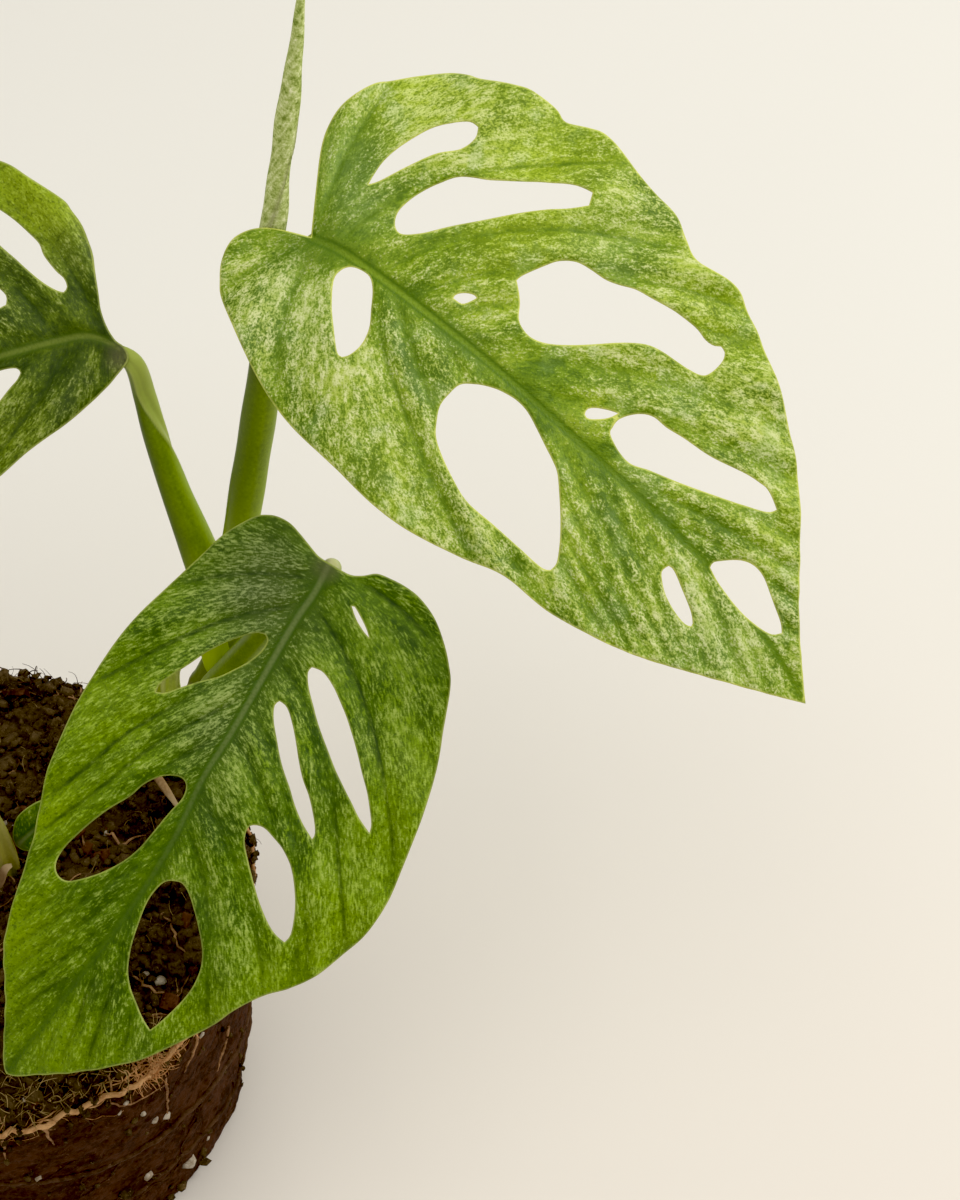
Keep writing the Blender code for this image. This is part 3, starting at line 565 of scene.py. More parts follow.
# %% The left blade
LEFT = Blade(
    joint=(37, 50, 173), tip=(-60.6, 37.7, 141.3), facing=(-0.16, -0.64, 0.75),
    arch=7, fold=0.10, droop=0.004, wave=1.2,
    midrib=[(0, 0), (2.1, 0.9), (4.4, 3.2), (5.8, 6), (6.3, 10.5), (6.6, 21), (6.3, 42), (3.6, 72),
            (0, 103.4)],
    margin=[(0, -0.6), (1.9, -0.3), (3.5, 0.8), (6.4, 1.5), (9.4, 1.6), (12.5, 1), (16.1, 0.5), (19.3, 0.1),
            (22, 0.2), (25.4, 0.6), (28.4, 1.6), (31, 2.7), (36.7, 7.6), (41.5, 12.3), (46, 21), (46.4, 28),
            (48, 35), (46.2, 46), (43.2, 52.5), (42.6, 60), (37, 70), (27, 82), (13, 93), (0, 103.4),
            (-4.6, 96), (-13.4, 82), (-19.2, 66), (-20.6, 52), (-18.8, 39), (-14.7, 27.2), (-11.9, 21),
            (-8.8, 12.7), (-4.7, 5.2), (-2.7, 2.1), (-1.2, 0.1)],
    holes=[[(14.4, 7), (15.1, 6.2), (16.8, 6.3), (18.7, 7.4), (21.9, 8.7), (24.4, 9.1), (27.1, 10.6),
            (30.2, 12.6), (33.5, 15.4), (36.5, 19), (38.4, 22.3), (37.6, 24), (35, 22.5), (31.5, 19.8),
            (28, 17), (25.2, 15.3), (22.9, 13.8), (19.8, 11.9), (17.1, 10), (15.1, 8.1)],
           [(15.2, 17.6), (17.2, 17.3), (21, 20), (25.5, 24.5), (30, 30), (34.2, 36.5), (37, 42.5),
            (37.6, 46.2), (35.6, 45.6), (32, 41.5), (27, 36), (22, 30.5), (17.5, 25), (15, 20.5)],
           [(13.6, 40.8), (16, 39.4), (20.5, 42.5), (25, 48.5), (29, 56), (31, 63), (31, 67.4), (28.5, 66.8),
            (24, 62), (19.5, 55.5), (15.5, 48.5)],
           [(10.6, 62.5), (12.6, 61.2), (16, 66), (18.4, 73), (19.6, 80), (19, 85), (16.6, 83), (13.6, 76.5),
            (11.2, 69.5)],
           [(3.9, 20.4), (3.4, 18.8), (2.5, 18.4), (1.4, 19.3), (-0.2, 21.8), (-2.6, 25), (-5.4, 28.5),
            (-8, 32), (-8.4, 33.6), (-6.4, 33.2), (-3, 31), (0.6, 28.4), (3, 25.2), (3.9, 22.6)],
           [(3.6, 41), (2, 39.4), (-1.8, 41.8), (-6.2, 47.5), (-10, 55), (-12, 62), (-11.8, 67), (-8.6, 66.4),
            (-3.6, 62), (0.8, 55.5), (3.4, 48)],
           [(3.4, 74), (2, 73.8), (-0.6, 78), (-3, 84.5), (-3.2, 89.4), (-1.4, 88), (1.4, 83), (3.2, 78)]],
    fans={1: [(-9, -0.9, 0.004), (0, -0.1, 0.012), (8, 0.1, 0.018), (24, 0.5, 0.025), (48, 1.5, 0.04),
              (72, 3, 0.05), (100, 6, 0.05)],
          -1: [(-9, -0.9, 0.004), (0, 0, 0.012), (10, 0.8, 0.03), (28, 1.2, 0.04), (60, 2, 0.04),
               (80, 2.6, 0.03), (100, 5, 0.03)]},
    laterals={1: [-12, -7, -3, 3, 11, 19, 31, 38, 45, 58, 66, 74, 83, 92, 104, 130],
              -1: [-12, -7, -3, 2, 8, 18, 25, 32, 44, 53, 62, 70, 80, 90, 102, 130]},
    patches={"pale": [(34, 8, 8, 0.06), (30, 4, 7, 0.05), (-8, 20, 8, 0.06), (25, 45, 10, 0.05),
                      (-10, 45, 9, 0.05), (9, 7, 8, -0.12), (3, 13, 6, -0.08)],
             "ripe": [(38, 12, 11, 0.9), (30, 3, 8, 0.9), (45, 32, 12, 0.6), (-10, 24, 8, 0.3),
                      (10, 90, 14, 0.4)],
             # Patches of painted sheen: a reflection of the lamp above, painted into the colour over a paler
             # mint.
             "silver": [(8, 12, 7, 0.2), (20, 4, 6, 0.3), (6, 60, 9, 0.4)]},
)
print("left blade is", round(LEFT.length, 1), "mm long")

# %% The small blade of the side shoot
SMALL = Blade(
    joint=(10.1, 3, 82), tip=(23.5, 8, 94), facing=(-0.3, -0.75, 0.6),
    arch=2.2, fold=0.25, droop=0.012, wave=0,
    midrib=[(0, 0), (0, 10), (0, 19.4)],
    margin=[(0, 0), (2, 1.6), (4, 6), (3.8, 11), (2, 16), (0, 19.4), (-2, 16), (-3.8, 11), (-4, 6),
            (-2, 1.6)],
    holes=[],
    fans={side: [(-5, 0.3, 0.05), (0, 0.6, 0.08), (20, 2, 0.1)] for side in (1, -1)},
    laterals={side: [-6, -3, 0, 3, 6, 9, 12, 15, 18, 30] for side in (1, -1)},
)
print("small blade is", round(SMALL.length, 1), "mm long")

# %% [markdown]
# Now the blade is filled and given its two faces. The upper and the lower face use the same
# triangles, set half a thickness up and down, and meet in a narrower band round every edge, so that
# the edge looks rounded. Solidify would do much the same, but here each face gets its own relief:
# veins are sunk above and raised below.

# %% Build one blade
LEAF_THICKNESS = 0.5
FILL_STEP = 0.72
EDGE_STEP = 0.6
CORNER = math.radians(56)
ROW_STEP = 0.87


def split_margin(points):
    """Smooth closed line whose sharp corners, such as the tip of the blade, stay sharp."""
    points = np.array(points, float)
    leaving = np.roll(points, -1, axis=0) - points
    arriving = np.roll(leaving, 1, axis=0)
    turn = np.arccos(np.clip((leaving * arriving).sum(1) / np.linalg.norm(leaving, axis=1)
                             / np.linalg.norm(arriving, axis=1), -1, 1))
    corners = np.flatnonzero(turn > CORNER)
    if not len(corners):
        return even_steps(curve_through(points, True, 10), EDGE_STEP, True)
    runs = []
    for start, stop in zip(corners, np.append(corners[1:], corners[0] + len(points))):
        run = points[np.arange(start, stop + 1) % len(points)]
        runs.append(even_steps(curve_through(run, False, 10), EDGE_STEP, False)[:-1])
    return np.vstack(runs)


def fill_outlines(outlines, step):
    """Flat mesh of even triangles between a margin and its holes."""
    low, high = outlines[0].min(0), outlines[0].max(0)
    rows = np.arange(low[1], high[1], step * ROW_STEP)
    grid = np.array([(x + (row % 2) * step / 2, y) for row, y in enumerate(rows)
                     for x in np.arange(low[0], high[0], step)])
    keep = inside(grid, outlines[0])
    for hole in outlines[1:]:
        keep &= ~inside(grid, hole)
    grid = grid[keep]
    room = np.min([distance_to(grid, outline) for outline in outlines], axis=0)
    grid = grid[room > step * 0.5]
    points = np.vstack(outlines + [grid])
    edges, first = [], 0
    for outline in outlines:
        count = len(outline)
        edges += [(first + place, first + (place + 1) % count) for place in range(count)]
        first += count
    flat, _, faces, *_ = geometry.delaunay_2d_cdt([Vector(point) for point in points], edges, [], 0, 1e-6)
    flat, faces = np.array([tuple(point) for point in flat]), np.array(faces)
    middles = flat[faces].mean(1)
    keep = inside(middles, outlines[0])
    for hole in outlines[1:]:
        keep &= ~inside(middles, hole)
    return flat, faces[keep]


print("filling step", FILL_STEP, "mm")


# %% Meshes and the numbers stored in them
def make_piece(name, verts, faces):
    """Object with a smooth mesh, from its vertices in millimetres and its faces."""
    mesh = bpy.data.meshes.new(name)
    mesh.from_pydata((np.array(verts) * MM).tolist(), [], faces)
    mesh.shade_smooth()
    piece = bpy.data.objects.new(name, mesh)
    bpy.context.collection.objects.link(piece)
    return piece


def store(piece, **numbers):
    """Keep a value or a direction for each vertex of a piece, for its finish to read."""
    for label, values in numbers.items():
        values = np.asarray(values, np.float32)
        kind, key = ("FLOAT", "value") if values.ndim == 1 else ("FLOAT_VECTOR", "vector")
        layer = piece.data.attributes.new(label, kind, "POINT")
        layer.data.foreach_set(key, values.ravel())


print("mesh helpers ready")


# %% Relief of the blade's skin and the finished mesh
QUILT = 0.085
PUCKER = 0.2
VEIN_SUNK, VEIN_WIDTH = 0.34, 0.5
RIB_SUNK, RIB_RAISED = 0.42, 0.75


def build_blade(name, blade, step=FILL_STEP):
    """Closed plate with the blade's bend, its veins, the swelling between them and its numbers."""
    outlines = [split_margin(outline) for outline in (blade.margin, *blade.holes)]
    flat, faces = fill_outlines(outlines, step)
    x, y = flat[:, 0], flat[:, 1]
    margin = distance_to(flat, outlines[0])
    edge = np.min([margin] + [distance_to(flat, outline) for outline in outlines[1:]], axis=0)
    away, number, strength, width, heading = blade.veins(x, y)
    part = np.clip(y / blade.length, 0, 1)
    to_vein = abs(number - np.round(number)) * width
    rib_width = 1.15 - 0.75 * part
    shown = soft(away, 1, 4) * soft(np.hypot(x, y), 1.5, 6)
    cushion = 0.5 - 0.5 * np.cos(math.tau * number)
    swell = np.clip(QUILT * width, 0.1, 1.0) * (1 + 0.7 * (1 - soft(margin, 0, 9)))
    lumps = np.array([noise.noise(Vector((a / 3.0, b / 3.0, 7)))
                      + 2 * noise.noise(Vector((a / 11, b / 11, 2))) for a, b in flat])
    base = blade.height(x, y) + swell * (cushion - 0.45) * shown + PUCKER * lumps * soft(y, 0, 10)
    line = strength * shown * soft(edge, 0, 4) * (1 - soft(part, 0.8, 1))
    vein = np.exp(-(to_vein / VEIN_WIDTH) ** 2) * line
    rib = np.exp(-(away / rib_width) ** 2) * soft(y, -1, 3)
    thick = LEAF_THICKNESS / 2 * (0.45 + 0.55 * soft(edge, 0, 0.6))
    upper = base + thick - VEIN_SUNK * vein - RIB_SUNK * rib * (1 - 0.6 * part)
    lower = base - thick - VEIN_SUNK * vein - RIB_RAISED * rib * (1 - 0.8 * part)
    at_edge = edge < 0.01
    upper, lower = np.where(at_edge, base + thick, upper), np.where(at_edge, base - thick, lower)
    count = len(flat)
    sides = np.vstack([faces[:, [0, 1]], faces[:, [1, 2]], faces[:, [2, 0]]])
    known = {tuple(side) for side in sides.tolist()}
    rim = [(a, b) for a, b in known if (b, a) not in known]
    polygons = faces.tolist() + (faces[:, ::-1] + count).tolist()
    polygons += [(b, a, a + count, b + count) for a, b in rim]
    piece = make_piece(name, np.vstack([blade.place(x, y, upper), blade.place(x, y, lower)]), polygons)
    numbers = {"from_rib": away / rib_width, "vein_number": number, "vein_field": width,
               "from_edge": edge, "share": part, "shown": shown, "line": line, "stretch": np.hypot(x, y)}
    # The third kind of patch is painted sheen, a reflection of the lamp laid into the colour.
    numbers |= {kind: blade.patch(kind, x, y) for kind in ("pale", "ripe", "silver")}
    store(piece, **{label: np.tile(values, 2) for label, values in numbers.items()})
    direction = np.outer(heading[:, 0], blade.across) + np.outer(heading[:, 1], blade.along)
    store(piece, vein_way=np.tile(direction, (2, 1)), underside=np.repeat([0.0, 1.0], count))
    print(name, "triangles:", 2 * len(faces) + 2 * len(rim))
    return piece


# %% [markdown]
# ## The marbled finish of the blades
#
# On the real leaf each cell is either green or has lost its green, so the marbling is fine grained:
# cream flecks a few tenths of a millimetre wide, drawn out along the side veins, which gather in
# paler and greener patches. It could be painted, but then each leaf would need a painting of its
# own. Here broad and long streaks go through a colour ramp and give the greens of the ground, with
# dark motes in it, ripe yellow areas and pale mint clouds. Listed patches add a painted sheen, the
# lamp's reflection laid into the colour, mostly near the stalk and the midrib. Streaks and specks of
# other sizes are summed and cut off at a level, and that mask lays the flecks over the ground. Then
# come the plain green midrib, the darker side veins, the thin pale rim round every edge and the
# dull, paler underside.


# %% Finish of a blade
def leaf_finish(name, greens, flecks, cover, rib, vein, rim, under, lip, ripe, silver, patchy, cloudy,
                roughness=0.46, specular=0.22, drawn=0.0):
    """greens: three greens of the ground. flecks: two tints of the pale cells. cover: (start, stop)
    of the fleck mask, higher numbers leave fewer flecks. rib: foot and crest of the midrib. lip:
    (colour, strength, reach) of the blade's start at the stalk. silver: ground and flecks under the
    painted sheen, a reflection laid into the colour, and under the mint clouds. patchy: how far the
    flecks gather. cloudy: strength of the mint clouds. drawn: how far the flecks are drawn out along
    the veins, from 0 to 1."""
    made, shader, recipe = new_finish(name, roughness, specular)
    place = recipe.millimetres()
    along = recipe.attribute("vein_way", "Vector")
    from_rib, share = recipe.attribute("from_rib"), recipe.attribute("share")
    underside = recipe.attribute("underside")
    fine = streak_node(recipe, place, along, 0.40, 0.10 + 0.12 * drawn, 3.3 + 0.6 * drawn)
    long = streak_node(recipe, place, along, 1.3, 0.42, 3.2)
    broad = streak_node(recipe, place, along, 5.0, 1.9, 3.4)
    specks = recipe.grain(place, 0.28, 3, 0.65)
    motes = recipe.grain(place, 0.6, 3, 0.7)
    clouds = recipe.grain(place, 6.5, 3, 0.55)
    tone = recipe.part_of(broad, 0.45, recipe.times(long, 0.35))
    tone = recipe.part_of(fine, 0.20, tone)
    ground = recipe.ramp(tone, [(0.30, greens[0]), (0.50, greens[1]), (0.72, greens[2])])
    sun = recipe.times(recipe.attribute("ripe"), recipe.fade(tone, 0.2, 0.7, 0.65, 1.0))
    ground = recipe.blend(recipe.math("MINIMUM", sun, 0.9), ground, ripe)
    # Painted sheen: the sheen patches lay the lamp's reflection into the colour, and the clouds add a mint
    # tone at random. Both lead to the same pale tints.
    bloom = recipe.fade(clouds, 0.52, 0.66, 0, cloudy)
    sheen = recipe.math("MAXIMUM", recipe.attribute("silver"), bloom)
    ground = recipe.blend(recipe.times(sheen, 0.55), ground, silver[0])
    middle = recipe.fade(from_rib, 1.0, 4.5, 1, 0)
    ground = recipe.blend(recipe.times(middle, 0.35), ground, greens[0])
    ground = recipe.blend(recipe.fade(motes, 0.50, 0.66, 0, 0.6), ground, greens[0])

    number = recipe.attribute("vein_number")
    near = recipe.times(recipe.math("PINGPONG", number, 0.5), recipe.attribute("vein_field"))
    beside = recipe.times(recipe.fade(near, 0.2, 1.9, 1, 0), recipe.attribute("shown"))
    ribbon = recipe.fade(from_rib, 0.6, 1.3, 1, 0)
    amount = recipe.part_of(fine, 0.36 + 0.22 * drawn, recipe.attribute("pale"))
    amount = recipe.part_of(long, 0.20 * patchy, amount)
    amount = recipe.part_of(broad, 0.18 * patchy, amount)
    amount = recipe.math("SUBTRACT", amount, 0.03 + 0.19 * patchy)
    amount = recipe.part_of(specks, 0.70 - 0.22 * drawn, amount)
    amount = recipe.part_of(middle, -0.10, amount)
    amount = recipe.part_of(beside, -0.10, amount)
    amount = recipe.part_of(ribbon, -0.25, amount)
    flecked = recipe.fade(amount, *cover)
    tint = recipe.blend(recipe.fade(long, 0.3, 0.75), *flecks)
    tint = recipe.blend(recipe.times(sun, 0.7), tint, toned(ripe, 1.55))
    tint = recipe.blend(recipe.times(sheen, 0.7), tint, silver[1])
    skin = recipe.blend(flecked, ground, tint)

    line = recipe.times(recipe.fade(near, 0.08, 0.6, 1, 0), recipe.attribute("line"))
    line = recipe.times(line, recipe.fade(long, 0.2, 0.7, 0.85, 0.5))
    skin = recipe.blend(line, skin, vein)
    crest = recipe.times(recipe.fade(from_rib, 0.1, 0.75, 1, 0), recipe.fade(share, 0.1, 0.7, 1, 0.1))
    rib_part = recipe.fade(share, 0.2, 0.95, 0.9, 0.45)
    skin = recipe.blend(recipe.times(ribbon, rib_part), skin, recipe.blend(crest, *rib))
    lip_colour, lip_strength, lip_reach = lip
    start = recipe.fade(recipe.attribute("stretch"), 1.0, lip_reach, 1, 0)
    skin = recipe.blend(recipe.times(start, lip_strength), skin, lip_colour)
    border = recipe.fade(recipe.attribute("from_edge"), 0.08, 0.36, 1, 0)
    border = recipe.times(border, recipe.fade(broad, 0.25, 0.75, 0.5, 0.9))
    skin = recipe.blend(border, skin, rim)
    below = recipe.blend(0.30, under, skin)
    below = recipe.blend(recipe.times(ribbon, 0.6), below, rib[1])
    recipe.feed(shader.inputs["Base Color"], recipe.blend(underside, skin, below))

    rough = recipe.fade(fine, 0.2, 0.9, roughness - 0.07, roughness + 0.1)
    recipe.feed(shader.inputs["Roughness"], recipe.part_of(underside, 0.15, rough))
    height = recipe.part_of(long, 0.8, fine)
    recipe.bump(shader, recipe.part_of(specks, 0.5, height), 0.6, 0.00014)
    return made


print("recipe of the blades ready")

# %% The three finishes of the blades
# In each finish, the last pair of colours tints the ground and the flecks under the painted sheen and the
# mint clouds.
light_leaf = leaf_finish(
    "light_leaf", greens=[(0.078, 0.150, 0.003), (0.185, 0.290, 0.010), (0.310, 0.415, 0.024)],
    flecks=[(0.40, 0.49, 0.08), (0.62, 0.66, 0.29)], cover=(0.40, 0.70), patchy=0.8, cloudy=0.5,
    rib=[(0.070, 0.145, 0.002), (0.190, 0.290, 0.016)], vein=(0.090, 0.170, 0.004), rim=(0.62, 0.66, 0.14),
    under=(0.40, 0.46, 0.19), lip=((0.060, 0.125, 0.003), 0.55, 10), ripe=(0.300, 0.400, 0.008),
    silver=[(0.200, 0.310, 0.080), (0.50, 0.60, 0.32)])
dark_leaf = leaf_finish(
    "dark_leaf", greens=[(0.032, 0.075, 0.001), (0.080, 0.152, 0.002), (0.140, 0.235, 0.003)],
    flecks=[(0.19, 0.30, 0.008), (0.34, 0.44, 0.085)], cover=(0.43, 0.75), patchy=0.42, cloudy=0.15,
    rib=[(0.050, 0.105, 0.005), (0.150, 0.200, 0.055)], vein=(0.015, 0.040, 0.001), rim=(0.38, 0.44, 0.09),
    under=(0.22, 0.30, 0.09), lip=((0.110, 0.110, 0.045), 0.5, 4), ripe=(0.210, 0.315, 0.001),
    silver=[(0.074, 0.114, 0.018), (0.29, 0.36, 0.13)], roughness=0.40, specular=0.2, drawn=1.0)
left_leaf = leaf_finish(
    "left_leaf", greens=[(0.024, 0.048, 0.001), (0.062, 0.104, 0.003), (0.160, 0.230, 0.008)],
    flecks=[(0.20, 0.27, 0.03), (0.38, 0.43, 0.13)], cover=(0.45, 0.84), patchy=0.8, cloudy=0.3,
    rib=[(0.060, 0.105, 0.005), (0.150, 0.200, 0.025)], vein=(0.025, 0.052, 0.002), rim=(0.44, 0.49, 0.12),
    under=(0.26, 0.33, 0.12), lip=((0.130, 0.110, 0.060), 0.5, 5), ripe=(0.250, 0.340, 0.006),
    silver=[(0.055, 0.085, 0.022), (0.32, 0.38, 0.18)], roughness=0.44, drawn=0.6)
print("leaf finishes:", light_leaf.name, dark_leaf.name, left_leaf.name)


# %% Put a finished piece in its place on the part
def place_piece(piece, finish, slot, *nodes):
    """Give a piece its finish, its body and the solids that it stands for."""
    piece.data.materials.clear()
    piece.data.materials.append(finish)
    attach(piece, "root")
    if nodes:
        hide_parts(*nodes)


place_piece(build_blade("leaf_upper", UPPER), light_leaf, "leaf_light", "blade_upper")
place_piece(build_blade("leaf_front", FRONT), dark_leaf, "leaf_dark", "blade_front")
place_piece(build_blade("leaf_left", LEFT), left_leaf, "leaf_light", "blade_left")
place_piece(build_blade("leaf_small", SMALL, step=0.5), dark_leaf, "leaf_dark", "blade_small")
print("blades placed")

# %% [markdown]
# ## Stem and leaf stalks
#
# A stalk is round and tapers. Its lower part is a sheath that clasps the stem, and its upper side
# has a groove, in which the next leaf grew. A curve with a bevel would give a plain round tube. The
# groove has to keep facing one way while the stalk bends, so here each ring of the tube is set
# square to the centre line and turned to face a given direction. On the left stalk a thin flap of
# the sheath still lies slanting over the groove.


# %% Tube along a centre line
def ring_faces(first, rings, sides):
    """Faces of a tube whose vertices are numbered from first, ring by ring."""
    return [(low + corner, low + (corner + 1) % sides, low + sides + (corner + 1) % sides,
             low + sides + corner)
            for low in range(first, first + (rings - 1) * sides, sides) for corner in range(sides)]


def build_tube(name, line, radii, face=(0, -1, 0), sides=28, step=1.2, section=None, flat=1.0,
               mark=None):
    """Closed tube in millimetres. section(turn, share) scales its radius and mark(turn, share) says
    how much of the finish's second colour it gets. Turn is zero towards face."""
    path = curve_through(line, False, 12)
    share_of = np.linspace(0, 1, len(path))
    widths = curve_through([(radius,) for radius in radii], False, 12)[:, 0]
    widths = np.interp(share_of, np.linspace(0, 1, len(widths)), widths)
    lengths = np.concatenate([[0], np.cumsum(np.linalg.norm(np.diff(path, axis=0), axis=1))])
    wanted = np.linspace(0, lengths[-1], max(int(lengths[-1] / step), 6) + 1)
    path = np.stack([np.interp(wanted, lengths, path[:, axis]) for axis in range(3)], axis=1)
    widths = np.interp(wanted, lengths, widths)
    share = wanted / lengths[-1]
    heading = unit(np.gradient(path, axis=0))
    side = unit(np.array(face, float) - heading * (heading @ np.array(face, float))[:, None])
    other = np.cross(heading, side)
    turns = np.arange(sides) * math.tau / sides
    signed = (turns + math.pi) % math.tau - math.pi
    scale = np.array([[section(turn, part) if section else 1 for turn in signed] for part in share])
    marks = np.array([[mark(turn, part) if mark else 0 for turn in signed] for part in share])
    reach = widths[:, None] * scale
    rings = (path[:, None] + side[:, None] * (reach * np.cos(turns))[..., None]
             + other[:, None] * (reach * np.sin(turns) * flat)[..., None])
    verts = [*rings.reshape(-1, 3), path[0], path[-1]]
    faces = ring_faces(0, len(path), sides)
    last = (len(path) - 1) * sides
    for corner in range(sides):
        after = (corner + 1) % sides
        faces += [(after, corner, len(verts) - 2), (last + corner, last + after, len(verts) - 1)]
    piece = make_piece(name, verts, faces)
    skin = np.stack([(reach * np.cos(turns)).ravel(), (reach * np.sin(turns)).ravel(),
                     np.repeat(wanted, sides)], axis=1)
    store(piece, skin=np.vstack([skin, (0, 0, 0), (0, 0, wanted[-1])]),
          share=np.append(np.repeat(share, sides), (0, 1)), mark=np.append(marks.ravel(), (0, 0)))
    return piece


def under_blade(blade, spots):
    """Points under a blade, each from its distance along the blade, its depth under the skin, its
    shift off the midrib and the radius of the stalk there."""
    line = []
    for y, depth, shift, radius in spots:
        x = np.array([blade.midrib_x(max(y, 0)) + shift])
        z = blade.height(x, np.array([y])) - LEAF_THICKNESS / 2 - radius - depth
        line.append(tuple(blade.place(x, np.array([y]), z)[0]))
    return line


print("tube builder ready")

# %% [markdown]
# The stalks are smooth and waxy. Their colour runs along them in fine threads, changes towards the
# knee under the blade, and is paler on the flaps and lips of a sheath. Light and shade are painted in
# too: the side that faces the lamp at the right gets painted light, a yellower green, and the other
# side gets painted shade, a deeper green. That depends only on how the skin lies, so the finish
# compares the normal of the object with one fixed direction.


# %% Finish of stems and stalks
# Direction of the lamp at the right: skin turned to it gets painted light, skin turned away gets painted
# shade.
PAINTED_LIGHT_SIDE = (0.96, 0.2, 0.2)


def stem_finish(name, dark, light, end, end_from, second, roughness=0.42, threads=0.5, start=None,
                shade=0.75):
    """Lengthwise threads between two greens, with another colour towards the far end, and painted light
    and painted shade that follow the way the skin faces. second: colour of what the tube marks. start:
    (colour, reach) at the near end. shade: how dark the painted shade on the far side is."""
    made, shader, recipe = new_finish(name, roughness, 0.3)
    skin = recipe.attribute("skin", "Vector")
    lengthwise = streak_node(recipe, skin, (0.0, 0.0, 1.0), 0.7, 3.2, 2.2)
    cloudy = recipe.grain(skin, 7, 3, 0.5)
    value = recipe.part_of(lengthwise, threads, recipe.times(cloudy, 1 - threads))
    colour = recipe.blend(recipe.fade(value, 0.2, 0.8), dark, light)
    # Painted shade on the side turned away from the lamp, painted light on the side turned to it.
    facing = recipe.add("ShaderNodeTexCoord").outputs["Normal"]
    painted_light_facing = recipe.vector("DOT_PRODUCT", {0: facing, 1: PAINTED_LIGHT_SIDE}, "Value")
    colour = recipe.blend(recipe.fade(painted_light_facing, -0.9, 0.4, shade, 0), colour, toned(dark, 0.6))
    colour = recipe.blend(recipe.fade(painted_light_facing, 0.3, 0.95, 0, 0.6), colour, toned(light, 1.35))
    share = recipe.attribute("share")
    colour = recipe.blend(recipe.fade(share, end_from, 1), colour, end)
    if start:
        colour = recipe.blend(recipe.fade(share, 0, start[1], 1, 0), colour, start[0])
    colour = recipe.blend(recipe.attribute("mark"), colour, second)
    freckles = recipe.fade(recipe.grain(skin, 0.45, 2, 0.6), 0.62, 0.72, 0, 0.15)
    recipe.feed(shader.inputs["Base Color"], recipe.blend(freckles, colour, toned(light, 1.5)))
    rough = recipe.fade(cloudy, 0.3, 0.7, roughness - 0.05, roughness + 0.1)
    recipe.feed(shader.inputs["Roughness"], rough)
    recipe.bump(shader, lengthwise, 0.4, 0.0001)
    return made


# Here the near-end colour is painted light: a brighter green on the lower part of the stalks, which lie in
# the front blade's shadow.
stem_green = stem_finish(
    "stem_green", (0.110, 0.170, 0.001), (0.260, 0.360, 0.003), (0.30, 0.38, 0.02), 0.75,
    (0.46, 0.52, 0.13), start=((0.40, 0.52, 0.008), 0.45))
knee_green = stem_finish(
    "knee_green", (0.120, 0.190, 0.001), (0.280, 0.385, 0.004), (0.70, 0.66, 0.38), 0.80,
    (0.36, 0.40, 0.09), start=((0.30, 0.40, 0.006), 0.30), shade=0.3)
foot_green = stem_finish(
    "foot_green", (0.110, 0.150, 0.002), (0.210, 0.260, 0.005), (0.18, 0.24, 0.01), 0.8,
    (0.20, 0.15, 0.06), start=((0.11, 0.075, 0.025), 0.35), shade=0.4)
print("stem finishes ready")


# %% The sections of stem and stalks
def notch(turn, width):
    return math.exp(-(turn / width) ** 2)


def between(share, start, full, fade, stop):
    """Zero at start, one from full to fade, zero again at stop."""
    return max(0.0, min(1.0, (share - start) / (full - start), (stop - share) / (stop - fade)))


def upper_section(turn, share):
    """Round, with a shallow groove where the new leaf stands and low sheath edges."""
    opened = between(share, 0.45, 0.7, 0.87, 0.97)
    lips = notch(abs(turn) - 0.75, 0.22)
    return 1 + opened * (0.07 * lips - 0.30 * notch(turn, 0.55)) + 0.02 * math.sin(share * 37)


def flap_edge(share):
    """Turn of the sheath's free edge, which slants across the stalk from right to left."""
    return np.interp(share, [0.50, 0.60, 0.66, 0.71, 0.76, 0.82], [1.0, 0.45, 0.0, -0.55, -1.1, -1.5])


def left_section(turn, share):
    """A stalk with the thin flap of its sheath laid over its upper half, and a groove under the flap."""
    opened = between(share, 0.50, 0.66, 0.9, 0.96)
    edge = flap_edge(share)
    return 1 + opened * (0.10 * notch(turn - edge, 0.14) - 0.16 * notch(turn - edge - 0.6, 0.3))


def left_mark(turn, share):
    """The flap of the sheath is paler than the stalk, and its free edge palest."""
    opened = between(share, 0.48, 0.60, 0.91, 0.97)
    past = turn - flap_edge(share)
    flap = min(max(past / 0.15, 0), 1) * min(max((3.2 - past) / 0.3, 0), 1)
    return opened * min(0.8 * notch(past, 0.1) + 0.55 * flap, 1)


def sheath_section(turn, share):
    """Dry sheath: an open groove with sharp lips."""
    opened = between(share, 0.22, 0.5, 0.86, 0.93)
    groove = 0.22 * notch(abs(turn) - 0.66, 0.16) - 0.42 * notch(turn, 0.5)
    return 1 + opened * groove + 0.06 * notch(turn - 0.8, 0.2) * (1 - opened)


def sheath_mark(turn, share):
    opened = between(share, 0.26, 0.5, 0.88, 0.95)
    return opened * (0.85 * notch(abs(turn) - 0.68, 0.11) + 0.22 * notch(turn, 0.45))


def front_section(turn, share):
    opened = between(share, 0.2, 0.5, 0.66, 0.76)
    return 1 + opened * (0.08 * notch(abs(turn) - 0.7, 0.2) - 0.28 * notch(turn, 0.5))


def front_mark(turn, share):
    return between(share, 0.0, 0.1, 0.6, 0.75) * 0.2 * notch(abs(turn) - 0.75, 0.14)


STEM_RINGS = (0.42, 0.57, 0.71, 0.86)


def stem_section(turn, share):
    """Short joints of the stem, each with a raised ring where a leaf was fixed."""
    rings = sum(notch(share - place, 0.018) for place in STEM_RINGS)
    return 1 + 0.07 * rings + 0.015 * math.sin(3 * turn + 9 * share)


def stem_mark(turn, share):
    return 0.7 * sum(notch(share - place, 0.012) for place in STEM_RINGS)


print("the deepest groove takes", round(1 - sheath_section(0, 0.8), 2), "of a sheath's radius")

